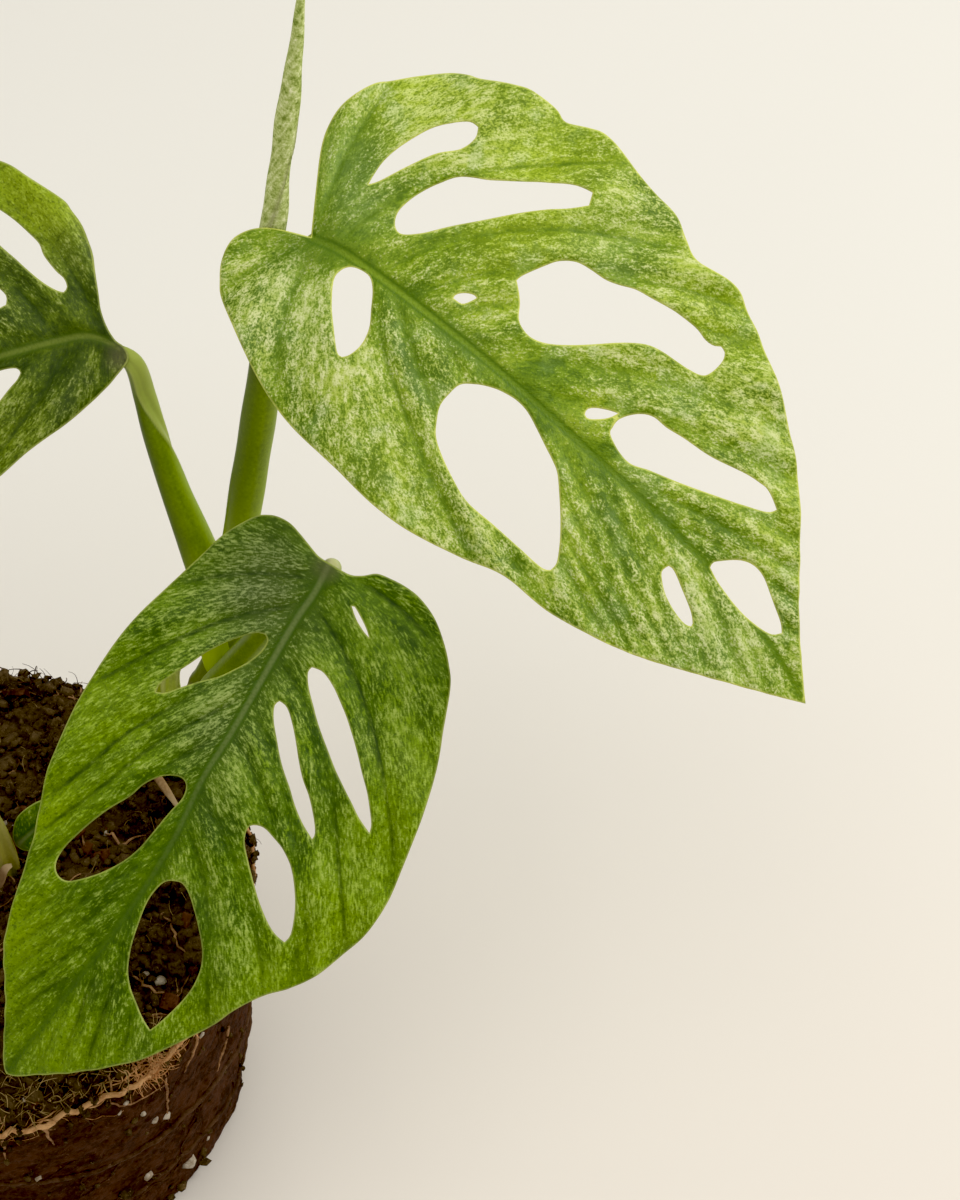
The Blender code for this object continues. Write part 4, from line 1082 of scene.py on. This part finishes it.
# %% Stem, stalks and their knees
stem = build_tube(
    "stem", [(37.5, 30, 50), (39.8, 28.5, 76), (43, 27.3, 88), (47.4, 26, 101), (53, 26, 115.5),
             (55.5, 27.5, 126)],
    [3.4, 3.8, 3.9, 4.0, 3.9, 3.3], section=stem_section, mark=stem_mark, step=0.5)
place_piece(stem, foot_green, "stem_green", "main_stem")
knee = under_blade(UPPER, [(0.4, 0.7, 0, 1.8), (2.8, 0.2, 0, 1.5), (5.5, 0.2, 0, 0.8)])
upper_stalk = build_tube(
    "stalk_of_upper_leaf",
    [(53.6, 26.3, 118), (54.4, 26.9, 123), (56, 30, 137), (57.9, 33.6, 149), (61.9, 38, 171),
     (64.2, 42, 186), (66.6, 46, 195)] + knee,
    [3.3, 3.4, 3.4, 3.3, 3.2, 2.6, 2.1, 1.8, 1.5, 0.8],
    face=(0.2, 1, 0.2), section=upper_section, step=0.8)
place_piece(upper_stalk, stem_green, "stem_green", "stalk_upper")
knee = under_blade(LEFT, [(-0.4, 0.8, -1.4, 1.9), (2.2, 0.2, -1.6, 1.4), (4.5, 0.2, -1.6, 0.7)])
left_stalk = build_tube(
    "stalk_of_left_leaf",
    [(52.7, 25.2, 112), (52.1, 25.4, 116), (51.6, 29.4, 127), (48, 35.5, 137), (44, 41.6, 147),
     (41.2, 46.3, 156), (39.6, 50, 162)] + knee,
    [3.8, 4.2, 4.1, 3.5, 2.75, 2.4, 2.15, 1.9, 1.4, 0.7],
    face=(0.85, -0.35, 0.45), section=left_section, mark=left_mark, step=0.5, sides=56)
place_piece(left_stalk, stem_green, "stem_green", "stalk_left")
knee = under_blade(FRONT, [(0.8, 3.8, 0, 1.8), (0.2, 1.9, 0, 1.5), (0.1, 0.1, 0, 1.2), (1.6, 0.15, 0, 1.1),
                           (3.4, 0.15, 0, 0.9), (6, 0.2, 0, 0.6)])
front_stalk = build_tube(
    "stalk_of_front_leaf",
    [(46.2, 24.4, 98), (50, 21, 110), (56, 18.6, 123), (63, 16.2, 137), (69.6, 14.4, 149),
     (73.4, 13.4, 155.6)] + knee,
    [2.8, 2.9, 2.6, 2.3, 2.0, 1.8, 1.7, 1.5, 1.25, 1.1, 0.9, 0.6],
    face=(0.2, 1, 0.3), section=front_section, mark=front_mark, step=0.5)
place_piece(front_stalk, knee_green, "stem_green", "stalk_front")
print("stem and three stalks placed")

# %% [markdown]
# ## The rolled new leaf
#
# The youngest leaf is still rolled lengthwise into a spike, and shows its pale underside. It is a
# tube whose radius grows once round and drops at the free edge. The edge winds slowly up the spike.


# %% Rolled leaf
def seam(share):
    """Turn of the free edge of the roll, zero towards the front."""
    return math.tau * (1.1 * (share - 0.42))


def rolled_section(turn, share):
    place = ((turn - seam(share)) / math.tau) % 1
    bulge = 0.06 * math.sin(share * 21) + 0.04 * math.sin(share * 43 + 1 + turn)
    return 0.86 + 0.30 * place + bulge


def rolled_mark(turn, share):
    place = ((turn - seam(share)) / math.tau) % 1
    return 0.7 * max(0.0, (place - 0.93) / 0.07) + 0.35 * max(0.0, 1 - place / 0.05)


rolled_finish, shader, recipe = new_finish("rolled_finish", 0.6, 0.3)
skin = recipe.attribute("skin", "Vector")
slant = (0.35, 0.35, 0.87)
fine = streak_node(recipe, skin, slant, 0.5, 0.6, 3.2)
long = streak_node(recipe, skin, slant, 1.6, 2.4, 3.0)
value = recipe.part_of(fine, 0.45, recipe.times(long, 0.5))
colour = recipe.ramp(value, [(0.28, (0.160, 0.225, 0.025)), (0.43, (0.380, 0.455, 0.120)),
                             (0.58, (0.600, 0.660, 0.290)), (0.74, (0.860, 0.850, 0.540))])
foot = recipe.fade(recipe.attribute("share"), 0.0, 0.45, 0.6, 0)
colour = recipe.blend(foot, colour, (0.30, 0.30, 0.10))
colour = recipe.blend(recipe.attribute("mark"), colour, (0.26, 0.25, 0.12))
recipe.feed(shader.inputs["Base Color"], colour)
recipe.bump(shader, long, 0.5, 0.00015)
rolled = build_tube(
    "rolled_new_leaf",
    [(61.6, 43.6, 179), (63.4, 47, 189), (66, 51.6, 205), (68.6, 56.2, 223), (71, 59.4, 238),
     (72.8, 62, 251)],
    [1.5, 1.9, 2.15, 1.85, 1.3, 0.4], section=rolled_section, mark=rolled_mark, sides=64, step=0.5)
place_piece(rolled, rolled_finish, "new_growth", "rolled_leaf")
print("rolled leaf placed")

# %% [markdown]
# ## The side shoot and the dry sheaths
#
# At the foot stand a small shoot in a brownish sheath, the olive remains of an old leaf stalk, and
# two papery scraps of older sheaths. All are made with the same tube. The scraps are squashed flat,
# because dry paper curls up as a strip.

# %% Shoot and sheaths
olive_sheath = stem_finish(
    "olive_sheath", (0.330, 0.420, 0.018), (0.580, 0.680, 0.070), (0.74, 0.76, 0.34), 0.45,
    (0.70, 0.70, 0.32), roughness=0.55, threads=0.75)
shoot_sheath = stem_finish(
    "shoot_sheath", (0.220, 0.200, 0.018), (0.420, 0.380, 0.055), (0.45, 0.44, 0.11), 0.55,
    (0.42, 0.34, 0.12), roughness=0.55, threads=0.75)
dry_paper = stem_finish(
    "dry_paper", (0.21, 0.115, 0.045), (0.40, 0.26, 0.12), (0.46, 0.34, 0.19), 0.6,
    (0.40, 0.27, 0.15), roughness=0.8, threads=0.85)
sheath = {"section": sheath_section, "mark": sheath_mark, "step": 0.6, "sides": 32}
shoot = build_tube(
    "side_shoot_sheath", [(8, 1, 56), (7.6, 2, 76), (6.8, 3, 85), (6, 4, 91), (6.4, 4.6, 96)],
    [2.2, 2.6, 2.4, 1.8, 0.5], face=(0.6, -0.8, 0), **sheath)
place_piece(shoot, shoot_sheath, "dry_sheath", "side_shoot")
old_stalk = build_tube(
    "old_stalk_sheath", [(43.6, 26, 90), (40.4, 27.6, 98), (40.3, 29.4, 105), (43, 31.2, 111),
                         (45.5, 33, 117)],
    [2.4, 2.5, 2.4, 2.0, 0.6], face=(0.4, -0.9, 0.2), **sheath)
place_piece(old_stalk, olive_sheath, "dry_sheath", "old_sheath")
strip = build_tube(
    "dry_strip", [(34.2, 24.4, 77.5), (36.4, 21.2, 79.6), (38.6, 18, 79.2), (41, 15, 77.6)],
    [0.5, 0.85, 0.8, 0.4], face=(0.7, 0.7, 0.1), flat=0.4, step=0.5)
place_piece(strip, dry_paper, "dry_sheath")
scale = build_tube(
    "dry_scale", [(6.4, -3.6, 76.4), (7.3, -2.8, 79), (8.2, -1.8, 81), (9.6, -1.2, 81.6)],
    [0.7, 1.2, 1.0, 0.4], face=(-0.6, 0.8, 0), flat=0.2, step=0.5)
place_piece(scale, dry_paper, "dry_sheath")
print("shoot and sheaths placed")

# %% [markdown]
# ## The root ball
#
# The block is peat with perlite, bark and fine roots in it. Its wall is fairly smooth, because the
# pot pressed it, and its top is loose and crumbly. A copy of the solid is merged, made into an even
# fine mesh by Remesh, and roughened by four Displace modifiers, from lumps down to crumbs. Sculpting
# would do the same by hand, but could not be repeated.


# %% Roughened copy of the solid
BALL_HEIGHT = 76
LOOSE_FROM, LOOSE_OVER, LEAST_LOOSE = 64, 10, 0.30


def roughen(piece, kind, size, strength):
    """Displace modifier with a procedural texture, sizes in millimetres."""
    cloud = bpy.data.textures.new(f"{piece.name}_{kind.lower()}_{size}", kind)
    cloud.noise_scale = size * MM
    lumps = piece.modifiers.new(f"lumps_{size}", "DISPLACE")
    lumps.texture = cloud
    lumps.texture_coords = "LOCAL"
    lumps.strength = strength * MM
    lumps.mid_level = 0.5
    lumps.vertex_group = "loose"
    bpy.ops.object.modifier_apply(modifier=lumps.name)


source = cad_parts["root_ball"]
ball = source.copy()
ball.data = source.data.copy()
ball.name = "peat_block"
bpy.context.collection.objects.link(ball)
bpy.ops.object.select_all(action="DESELECT")
ball.select_set(True)
bpy.context.view_layer.objects.active = ball
bpy.ops.object.mode_set(mode="EDIT")
bpy.ops.mesh.select_all(action="SELECT")
bpy.ops.mesh.remove_doubles(threshold=1e-6)
bpy.ops.object.mode_set(mode="OBJECT")
even = ball.modifiers.new("even", "REMESH")
even.mode = "VOXEL"
even.voxel_size = 0.80 * MM
bpy.ops.object.modifier_apply(modifier="even")
smooth = ball.modifiers.new("smooth", "SMOOTH")
smooth.iterations = 6
bpy.ops.object.modifier_apply(modifier="smooth")
loose = ball.vertex_groups.new(name="loose")
for vertex in ball.data.vertices:
    rim = (vertex.co.z / MM - LOOSE_FROM) / LOOSE_OVER
    foot = min(max(vertex.co.z / MM / 4, 0), 1)
    loose.add([vertex.index], min(max(rim, LEAST_LOOSE), 1) * foot, "REPLACE")
for lump in (("CLOUDS", 9, 4.2), ("VORONOI", 3.4, -2.0), ("CLOUDS", 2.4, 2.6), ("CLOUDS", 1.1, 1.5)):
    roughen(ball, *lump)
ball.data.shade_smooth()
print("peat block faces:", len(ball.data.polygons))

# %% [markdown]
# Peat is a tangle of dark and reddish fibres. Its colour comes from noise at three sizes, and its
# smallest roughness from a bump. All that lies on the block or grows in it shares this group, with
# other colours: the crumbs, the bark, the perlite, the moss and the roots. The root that lies along
# the rim gets a paler, brighter tan than the others, partly its own colour and partly painted light,
# which lifts it in the front blade's shade. The orange of the torn fibres is lifted with painted
# light against the same shade.

# %% Shared node group: earthy grain
EARTH_COLOURS = ("Dark", "Middle", "Light")
earth, recipe, given, result = group_of("earth", dict.fromkeys(EARTH_COLOURS, COLOUR),
                                        {"Colour": COLOUR, "Height": FLOAT})
place = recipe.millimetres()
coarse = recipe.grain(place, 9, 4, 0.6)
middle = recipe.grain(place, 1.6, 4, 0.65)
feeds = {"Vector": place, "Scale": 0.9, "Detail": 3.0, "Distortion": 2.5}
threads = recipe.add("ShaderNodeTexNoise", feeds).outputs[0]
mixed = recipe.part_of(middle, 0.55, recipe.times(coarse, 0.45))
colour = recipe.blend(recipe.fade(mixed, 0.40, 0.58), given["Dark"], given["Middle"])
glint = recipe.fade(threads, 0.60, 0.74)
colour = recipe.blend(recipe.times(glint, 0.7), colour, given["Light"])
recipe.feed(result["Colour"], colour)
recipe.feed(result["Height"], recipe.part_of(threads, 0.6, middle))
print("group", earth.name, "has", len(earth.nodes), "nodes")

# %% Earthy finishes
EARTH_ROUGHNESS, EARTH_SPECULAR, EARTH_BUMP, EARTH_DEPTH = 0.95, 0.15, 0.9, 0.0006


def earth_node(recipe, *colours):
    return recipe.group(earth, dict(zip(EARTH_COLOURS, colours)))


def earth_finish(name, *colours, roughness=EARTH_ROUGHNESS, depth=EARTH_DEPTH):
    made, shader, recipe = new_finish(name, roughness, EARTH_SPECULAR)
    looks = earth_node(recipe, *colours)
    recipe.feed(shader.inputs["Base Color"], looks["Colour"])
    recipe.bump(shader, looks["Height"], EARTH_BUMP, depth)
    return made


crumb_earth = earth_finish("crumb_earth", (0.026, 0.015, 0.0055), (0.102, 0.065, 0.025), (0.31, 0.21, 0.10))
bark_brown = earth_finish("bark_brown", (0.030, 0.011, 0.005), (0.110, 0.045, 0.020), (0.24, 0.12, 0.06),
                          depth=0.0003)
root_tan = earth_finish("root_tan", (0.160, 0.075, 0.032), (0.370, 0.205, 0.095), (0.58, 0.39, 0.22),
                        roughness=0.75, depth=0.0002)
# Paler tan for the rim root: partly its own colour, partly painted light against the front blade's shade.
rim_tan = earth_finish("rim_tan", (0.380, 0.190, 0.075), (0.620, 0.360, 0.160), (0.80, 0.56, 0.31),
                       roughness=0.75, depth=0.0002)
root_brown = earth_finish("root_brown", (0.034, 0.015, 0.006), (0.085, 0.042, 0.019), (0.21, 0.13, 0.065),
                          roughness=0.8, depth=0.0002)
perlite_white = earth_finish("perlite_white", (0.26, 0.20, 0.13), (0.50, 0.43, 0.33), (0.72, 0.66, 0.55),
                             roughness=0.85, depth=0.0003)
moss_olive = earth_finish("moss_olive", (0.230, 0.140, 0.045), (0.500, 0.350, 0.140), (0.72, 0.57, 0.30),
                          roughness=0.9, depth=0.0002)
# Brighter orange for the torn fibres: partly their own colour, partly painted light against the front blade's
# shade.
fibre_orange = earth_finish("fibre_orange", (0.380, 0.160, 0.055), (0.680, 0.370, 0.160), (0.82, 0.58, 0.31),
                            roughness=0.8, depth=0.0002)
print("earthy finishes ready")

# %% Finish of the block, with one look for its wall and one for its top
peat, shader, recipe = new_finish("peat", EARTH_ROUGHNESS, EARTH_SPECULAR)
wall = earth_node(recipe, (0.028, 0.010, 0.004), (0.074, 0.030, 0.014), (0.150, 0.075, 0.040))
top = earth_node(recipe, (0.024, 0.014, 0.005), (0.092, 0.057, 0.022), (0.270, 0.180, 0.080))
rise = recipe.add("ShaderNodeSeparateXYZ", {0: recipe.millimetres()}).outputs[2]
onto_top = recipe.fade(rise, 66, 74)
recipe.feed(shader.inputs["Base Color"], recipe.blend(onto_top, wall["Colour"], top["Colour"]))
recipe.bump(shader, top["Height"], EARTH_BUMP, EARTH_DEPTH)
place_piece(ball, peat, "peat", "root_ball")
surface = bvhtree.BVHTree.FromObject(ball, bpy.context.evaluated_depsgraph_get())
print("peat placed, its top look starts between 66 and 74 mm")

# %% [markdown]
# ## Crumbs, perlite and bark
#
# What lies loose on the block is scattered by a seeded random draw. One grain is modelled for each
# kind and copied with its own size, turn and dents. All grains of a kind become one mesh. A particle
# system would be lost in the export.


# %% Grain shapes
def grain_shape(kind):
    """Vertices and triangles of one grain, made with a primitive that is removed again.

    A bevel may list its faces in another order each time, so the triangles are sorted."""
    if kind == "round":
        bpy.ops.mesh.primitive_ico_sphere_add(subdivisions=2, radius=1)
    elif kind == "small":
        bpy.ops.mesh.primitive_ico_sphere_add(subdivisions=1, radius=1)
    else:
        bpy.ops.mesh.primitive_cube_add(size=2)
        bpy.ops.object.mode_set(mode="EDIT")
        bpy.ops.mesh.bevel(offset=0.3, segments=1)
        bpy.ops.mesh.quads_convert_to_tris()
        bpy.ops.object.mode_set(mode="OBJECT")
    thing = bpy.context.object
    verts = np.array([tuple(vertex.co) for vertex in thing.data.vertices])
    faces = [tuple(polygon.vertices) for polygon in thing.data.polygons]
    faces = sorted(min((a, b, c), (b, c, a), (c, a, b)) for a, b, c in faces)
    bpy.data.objects.remove(thing, do_unlink=True)
    return verts, np.array(faces)


def seat_on(spot):
    """Nearest place on the peat to a spot in millimetres, and the outward direction there."""
    found, normal, *_ = surface.find_nearest(Vector(spot) * MM)
    return np.array(found) / MM, np.array(normal)


def around(reach, angle, height):
    """Spot at a distance from the middle of the block, at an angle in radians and at a height."""
    return reach * math.cos(angle), reach * math.sin(angle), height


def spot_on_ball(draw, zone):
    """Random spot on the top, on the rim or on the wall of the block."""
    if zone == "top":
        return around(55 * math.sqrt(draw.random()), draw.uniform(0, math.tau), BALL_HEIGHT + 2)
    angle = draw.uniform(0, math.tau)
    height = draw.uniform(66, BALL_HEIGHT) if zone == "rim" else draw.uniform(4, 70)
    return around(51 + 7 * height / BALL_HEIGHT, angle, height)


print("a round grain has", len(grain_shape("round")[1]), "faces")


# %% Scatter grains
CHIP_EDGE = math.radians(38)


def scatter(name, kind, spots, sizes, stretch, sink, seed, rough=0.25):
    """One mesh of many grains. stretch: how uneven their three widths are. sink: share of a grain
    that is buried in the peat. rough: depth of the dents as a share of the size."""
    draw = np.random.default_rng(seed)
    shape, faces = grain_shape(kind)
    all_verts, all_faces = [], []
    for number, spot in enumerate(spots):
        size = sizes[number] / 2
        dents = 1 + rough * draw.normal(size=(len(shape), 1))
        body = shape * np.clip(dents, 0.5, 1.5) * size * (1 + stretch * draw.uniform(-1, 1, 3))
        spin, _ = np.linalg.qr(draw.normal(size=(3, 3)))
        if np.linalg.det(spin) < 0:
            spin[:, 0] *= -1
        seat, outward = seat_on(spot)
        all_verts.append(body @ spin.T + seat + outward * size * (1 - 2 * sink))
        all_faces.append(faces + number * len(shape))
    piece = make_piece(name, np.vstack(all_verts), np.vstack(all_faces).tolist())
    if kind == "chip":
        piece.data.set_sharp_from_angle(angle=CHIP_EDGE)
    print(name, "grains:", len(spots), "faces:", len(piece.data.polygons))
    return piece


draw = random.Random(11)
spots = [spot_on_ball(draw, "top") for _ in range(1900)]
spots += [spot_on_ball(draw, "rim") for _ in range(600)]
spots += [spot_on_ball(draw, "wall") for _ in range(260)]
sizes = [draw.uniform(0.6, 2.2) for _ in spots]
crumbs = scatter("peat_crumbs", "small", spots, sizes, stretch=0.4, sink=0.35, seed=3)
place_piece(crumbs, crumb_earth, "peat")
spots = [spot_on_ball(draw, "top") for _ in range(260)]
sizes = [draw.uniform(2.0, 4.2) for _ in spots]
lumps = scatter("peat_lumps", "round", spots, sizes, stretch=0.4, sink=0.5, seed=4, rough=0.2)
place_piece(lumps, crumb_earth, "peat")

# %% Perlite and bark
spots = [(39, -24.1, 77), (37.6, -23.2, 77), (41.1, -31.7, 13.3), (16, -53.1, 49.5),
         (34.4, -40.3, 24.6), (36.1, -43.2, 57.9), (38.1, -40.1, 48.6), (40.1, -37.7, 45.7),
         (34.2, -45.7, 66.7), (32.7, -46.6, 64.7)]
sizes = [2.4, 1.6, 3.4, 2.0, 2.8, 1.4, 1.8, 1.7, 1.3, 1.5]
spots += [spot_on_ball(draw, "top") for _ in range(24)]
spots += [spot_on_ball(draw, "wall") for _ in range(16)]
sizes += [draw.uniform(0.6, 1.5) for _ in range(40)]
perlite = scatter("perlite", "round", spots, sizes, stretch=0.25, sink=0.66, seed=5, rough=0.13)
place_piece(perlite, perlite_white, "peat")
spots = [(27.1, 3.4, 77), (25.4, 4.6, 77), (30.1, 0.6, 77), (34.1, 2.9, 77)]
spots += [spot_on_ball(draw, "top") for _ in range(80)]
sizes = [draw.uniform(1.2, 2.8) for _ in spots]
bark = scatter("bark_bits", "chip", spots, sizes, stretch=0.55, sink=0.5, seed=6, rough=0.12)
place_piece(bark, bark_brown, "peat")

# %% [markdown]
# ## Roots, fibres and moss
#
# Thin roots wander over the block and sink in and out of it. Each is a very fine tube along a path
# that starts at a spot, turns a little at every step and is set back onto the peat each time.


# %% Threads that wander over the peat
OFF_AXIS = (0.31, 0.52, 0.79)
WANDER_STEP = 1.3


def thread_mesh(name, threads, sides):
    """One mesh of many thin tubes, each given as (path in millimetres, radius at each point)."""
    verts, faces = [], []
    for path, radii in threads:
        path = np.array(path, float)
        heading = np.gradient(path, axis=0)
        heading[np.linalg.norm(heading, axis=1) < 1e-6] = (1, 0, 0)
        heading = unit(heading)
        side = unit(np.cross(heading, OFF_AXIS))
        other = np.cross(heading, side)
        first = len(verts)
        for place in range(len(path)):
            for corner in range(sides):
                turn = math.tau * corner / sides
                outward = side[place] * math.cos(turn) + other[place] * math.sin(turn)
                verts.append(path[place] + radii[place] * outward)
        faces += ring_faces(first, len(path), sides)
        faces.append(tuple(first + corner for corner in reversed(range(sides))))
        faces.append(tuple(len(verts) - sides + corner for corner in range(sides)))
    print(name, "threads:", len(threads), "faces:", len(faces))
    return make_piece(name, verts, faces)


def taper(count, radius):
    """Radius at each point of a thread, thickest near a third of its way."""
    return [radius * (0.35 + 0.65 * math.sin(math.pi * min(0.12 + 0.88 * place / (count - 1), 1) ** 0.8))
            for place in range(count)]


def wander(draw, spot, way, length, radius, curl=0.35):
    """Path that creeps over the peat from a spot, first in a given direction."""
    spot, normal = seat_on(spot)
    way = np.array(way, float)
    path = []
    for _ in range(max(int(length / WANDER_STEP), 4)):
        path.append(spot + normal * radius * 0.5)
        way = way + np.array([draw.gauss(0, curl) for _ in range(3)])
        way = unit(way - normal * (way @ normal))
        spot, normal = seat_on(spot + way * WANDER_STEP)
    return path, taper(len(path), radius)


def on_peat(radius, *points):
    """Thread through given points, laid on the peat."""
    line = even_steps(curve_through(points, False, 8), 1.0, False)
    path = [seat_on(point)[0] + np.array([0, 0, radius * 0.7]) for point in line]
    return path, taper(len(path), radius)


print("threads step by", WANDER_STEP, "mm")

# %% Fine roots on the block
draw = random.Random(23)
threads = [on_peat(0.32, (25.5, 10.6, 77), (28, 9.4, 77), (30.7, 8.6, 77), (33.3, 8.6, 77),
                   (35.2, 9.4, 77)),
           on_peat(0.3, (39.5, -9.2, 77), (41.1, -12.1, 77), (42.5, -15.5, 77), (44.2, -18, 77),
                   (46.2, -19.2, 77)),
           on_peat(0.34, (34.1, -23, 77), (37.1, -25.2, 77), (40.5, -27.2, 77), (43.8, -29.2, 77)),
           on_peat(0.3, (36.6, -31.6, 77), (39.5, -32.2, 77), (42.8, -31.6, 77)),
           on_peat(0.3, (22.3, 5.3, 77), (22.8, 8.9, 77), (23.3, 12.5, 77)),
           on_peat(0.45, (48, -31.3, 67.5), (46.3, -32.9, 62.5), (44.1, -35, 58.3)),
           on_peat(0.45, (51.9, -19.5, 49.4), (50.4, -22.3, 45.4), (48.2, -25.7, 41.1)),
           on_peat(0.36, (41.1, -39.1, 65.6), (40.5, -38.2, 54.1), (39.8, -37.3, 43.1)),
           on_peat(0.34, (12.1, -56.1, 72.1), (11.8, -55.7, 67.2), (11.3, -55.2, 61.2)),
           on_peat(0.38, (19.1, -54.2, 72.3), (20.1, -53.2, 66.3), (20.6, -52.5, 61.7))]
for _ in range(90):
    spot = spot_on_ball(draw, "top")
    threads.append(wander(draw, spot, (draw.gauss(0, 1), draw.gauss(0, 1), 0), draw.uniform(8, 30),
                          draw.uniform(0.12, 0.30)))
place_piece(thread_mesh("fine_roots", threads, 5), root_tan, "root_skin")
threads = []
for _ in range(60):
    spot = spot_on_ball(draw, "wall")
    way = (-spot[1] / 50, spot[0] / 50, draw.gauss(0, 0.9))
    threads.append(wander(draw, spot, way, draw.uniform(6, 34), draw.uniform(0.1, 0.26), curl=0.25))
place_piece(thread_mesh("wall_roots", threads, 4), root_brown, "root_skin")


# %% [markdown]
# The thicker roots that run round the block follow the six solid roots, but waver and carry side
# roots, as living ones do. Each row of the table says where one runs: its first and last angle in
# degrees, its first and last height, how many waves it makes and its radius.

# %% Roots round the block
ROOTS = [(-158, 28, 73, 72, 0, 0.58), (-95, 5, 52, 28, 2, 0.65), (20, 150, 60, 42, 2, 0.7),
         (95, 215, 32, 18, 2, 0.65), (165, 262, 62, 46, 2, 0.65), (-60, 70, 22, 11, 2, 0.6)]


def root_path(root, sink):
    """Path and radii of one of the roots round the block."""
    start, stop, low, high, waves, radius = root
    count = int(abs(stop - start) * 1.2)
    path = []
    for place in range(count + 1):
        share = place / count
        angle = math.radians(start + (stop - start) * share)
        wave = 2.2 * math.sin(share * waves * math.tau) * math.sin(share * math.pi)
        level = low + (high - low) * share + wave
        level += 0.5 * noise.noise(Vector((share * 14, start, 0)))
        spot, normal = seat_on(around(50 + 7.5 * level / BALL_HEIGHT + 0.3, angle, level))
        path.append(spot + normal * radius * (sink + 0.5 * noise.noise(Vector((share * 9, start, 4)))))
    radii = [radius * (0.6 + 0.4 * math.sin(math.pi * (0.1 + 0.8 * place / count)))
             * (1 + 0.16 * noise.noise(Vector((place * 0.35, start, 1)))) for place in range(count + 1)]
    return path, radii


draw = random.Random(31)
for number, root in enumerate(ROOTS, start=1):
    # The rim root gets the tan that holds painted light; the other roots get the plain brown.
    sink, finish = (1.0, rim_tan) if number == 1 else (0.25, root_brown)
    path, radii = root_path(root, sink)
    threads = [(path, radii)]
    for _ in range(12):
        place = draw.randrange(4, len(path) - 4)
        threads.append(wander(draw, path[place], [draw.gauss(0, 1) for _ in range(3)],
                              draw.uniform(4, 14), draw.uniform(0.1, 0.22), curl=0.3))
    place_piece(thread_mesh(f"ball_root_{number}", threads, 8), finish, "root_skin", f"root_{number}")

# %% [markdown]
# Moss and old peat fibres stand up in short curls, mostly just inside the rim, and a tuft of torn
# orange fibre hangs over the rim at the front.


# %% Fibres that stand off the peat
CURL_STEPS = 6


def curl_up(draw, spot, length, radius, lean=0.6):
    """Short fibre that leaves the peat and curls over."""
    spot, normal = seat_on(spot)
    way = unit(normal + np.array([draw.gauss(0, lean) for _ in range(3)]))
    bend = np.array([draw.gauss(0, 0.5) for _ in range(3)]) - 0.35 * normal
    path = [spot - normal * 0.3]
    for _ in range(CURL_STEPS):
        path.append(path[-1] + way * length / CURL_STEPS)
        way = unit(way + bend * 0.35)
    return path, [radius * (1 - 0.1 * place) for place in range(len(path))]


print("a curl has", CURL_STEPS, "steps")

# %% Moss and fibres on the block
draw = random.Random(47)
moss, torn, brown = [], [], []
for _ in range(620):
    angle = draw.uniform(math.radians(-140), math.radians(-40))
    spot = around(draw.uniform(46, 58), angle, BALL_HEIGHT + 1)
    moss.append(curl_up(draw, spot, draw.uniform(2, 6), draw.uniform(0.07, 0.15)))
for _ in range(260):
    moss.append(curl_up(draw, spot_on_ball(draw, "top"), draw.uniform(1.5, 4.5), draw.uniform(0.06, 0.11)))
for _ in range(420):
    spot = (39.5 + draw.gauss(0, 3.6), -40.6 + draw.gauss(0, 2.6), 73 + draw.gauss(0, 2))
    torn.append(curl_up(draw, spot, draw.uniform(1.5, 4.5), draw.uniform(0.08, 0.18), 1.0))
for x, y in ((7.4, 53.5), (8.3, 50.6), (9.8, 48.5), (5.7, 52.1), (11.4, 49.5), (14, 50), (3, 51)):
    for _ in range(2):
        brown.append(curl_up(draw, (x, y, BALL_HEIGHT + 1), draw.uniform(4, 8), draw.uniform(0.12, 0.24)))
for _ in range(700):
    brown.append(curl_up(draw, spot_on_ball(draw, "top"), draw.uniform(2, 7), draw.uniform(0.06, 0.13), 1.1))
for _ in range(420):
    angle = draw.uniform(0, math.tau)
    spot = around(draw.uniform(50, 58), angle, draw.uniform(68, BALL_HEIGHT))
    brown.append(curl_up(draw, spot, draw.uniform(1.0, 3.2), draw.uniform(0.06, 0.13), 1.0))
for _ in range(46):
    angle = math.radians(draw.uniform(-150, -42))
    spot = around(57.3, angle, draw.uniform(70.5, 75))
    torn.append(wander(draw, spot, (-math.sin(angle), math.cos(angle), draw.gauss(0, 0.2)),
                       draw.uniform(5, 22), draw.uniform(0.09, 0.2), curl=0.12))
place_piece(thread_mesh("moss_threads", moss, 3), moss_olive, "peat")
# The torn fibres' finish holds painted light against the front blade's shade.
place_piece(thread_mesh("torn_fibres", torn, 3), fibre_orange, "root_skin")
place_piece(thread_mesh("peat_fibres", brown, 3), root_brown, "peat")

# %% [markdown]
# ## Floor
#
# The plant stands on a plain cream floor that reaches past the picture on all sides. Its colour is a
# little warmer towards the front and slightly uneven, which keeps the plant from looking cut out.

# %% Floor
bpy.ops.mesh.primitive_plane_add(size=8)
floor = bpy.context.object
floor.name = "floor"
floor_paint, shader, recipe = new_finish("floor_paint", 0.9)
cloudy = recipe.grain(recipe.millimetres(), 160, 2, 0.4)
deep = recipe.add("ShaderNodeSeparateXYZ", {0: recipe.millimetres()}).outputs[1]
front = recipe.blend(cloudy, (0.795, 0.742, 0.662), (0.818, 0.765, 0.685))
back = recipe.blend(cloudy, (0.787, 0.768, 0.702), (0.815, 0.798, 0.733))
recipe.feed(shader.inputs["Base Color"], recipe.blend(recipe.fade(deep, -60, 260), front, back))
floor.data.materials.append(floor_paint)
print("floor laid")
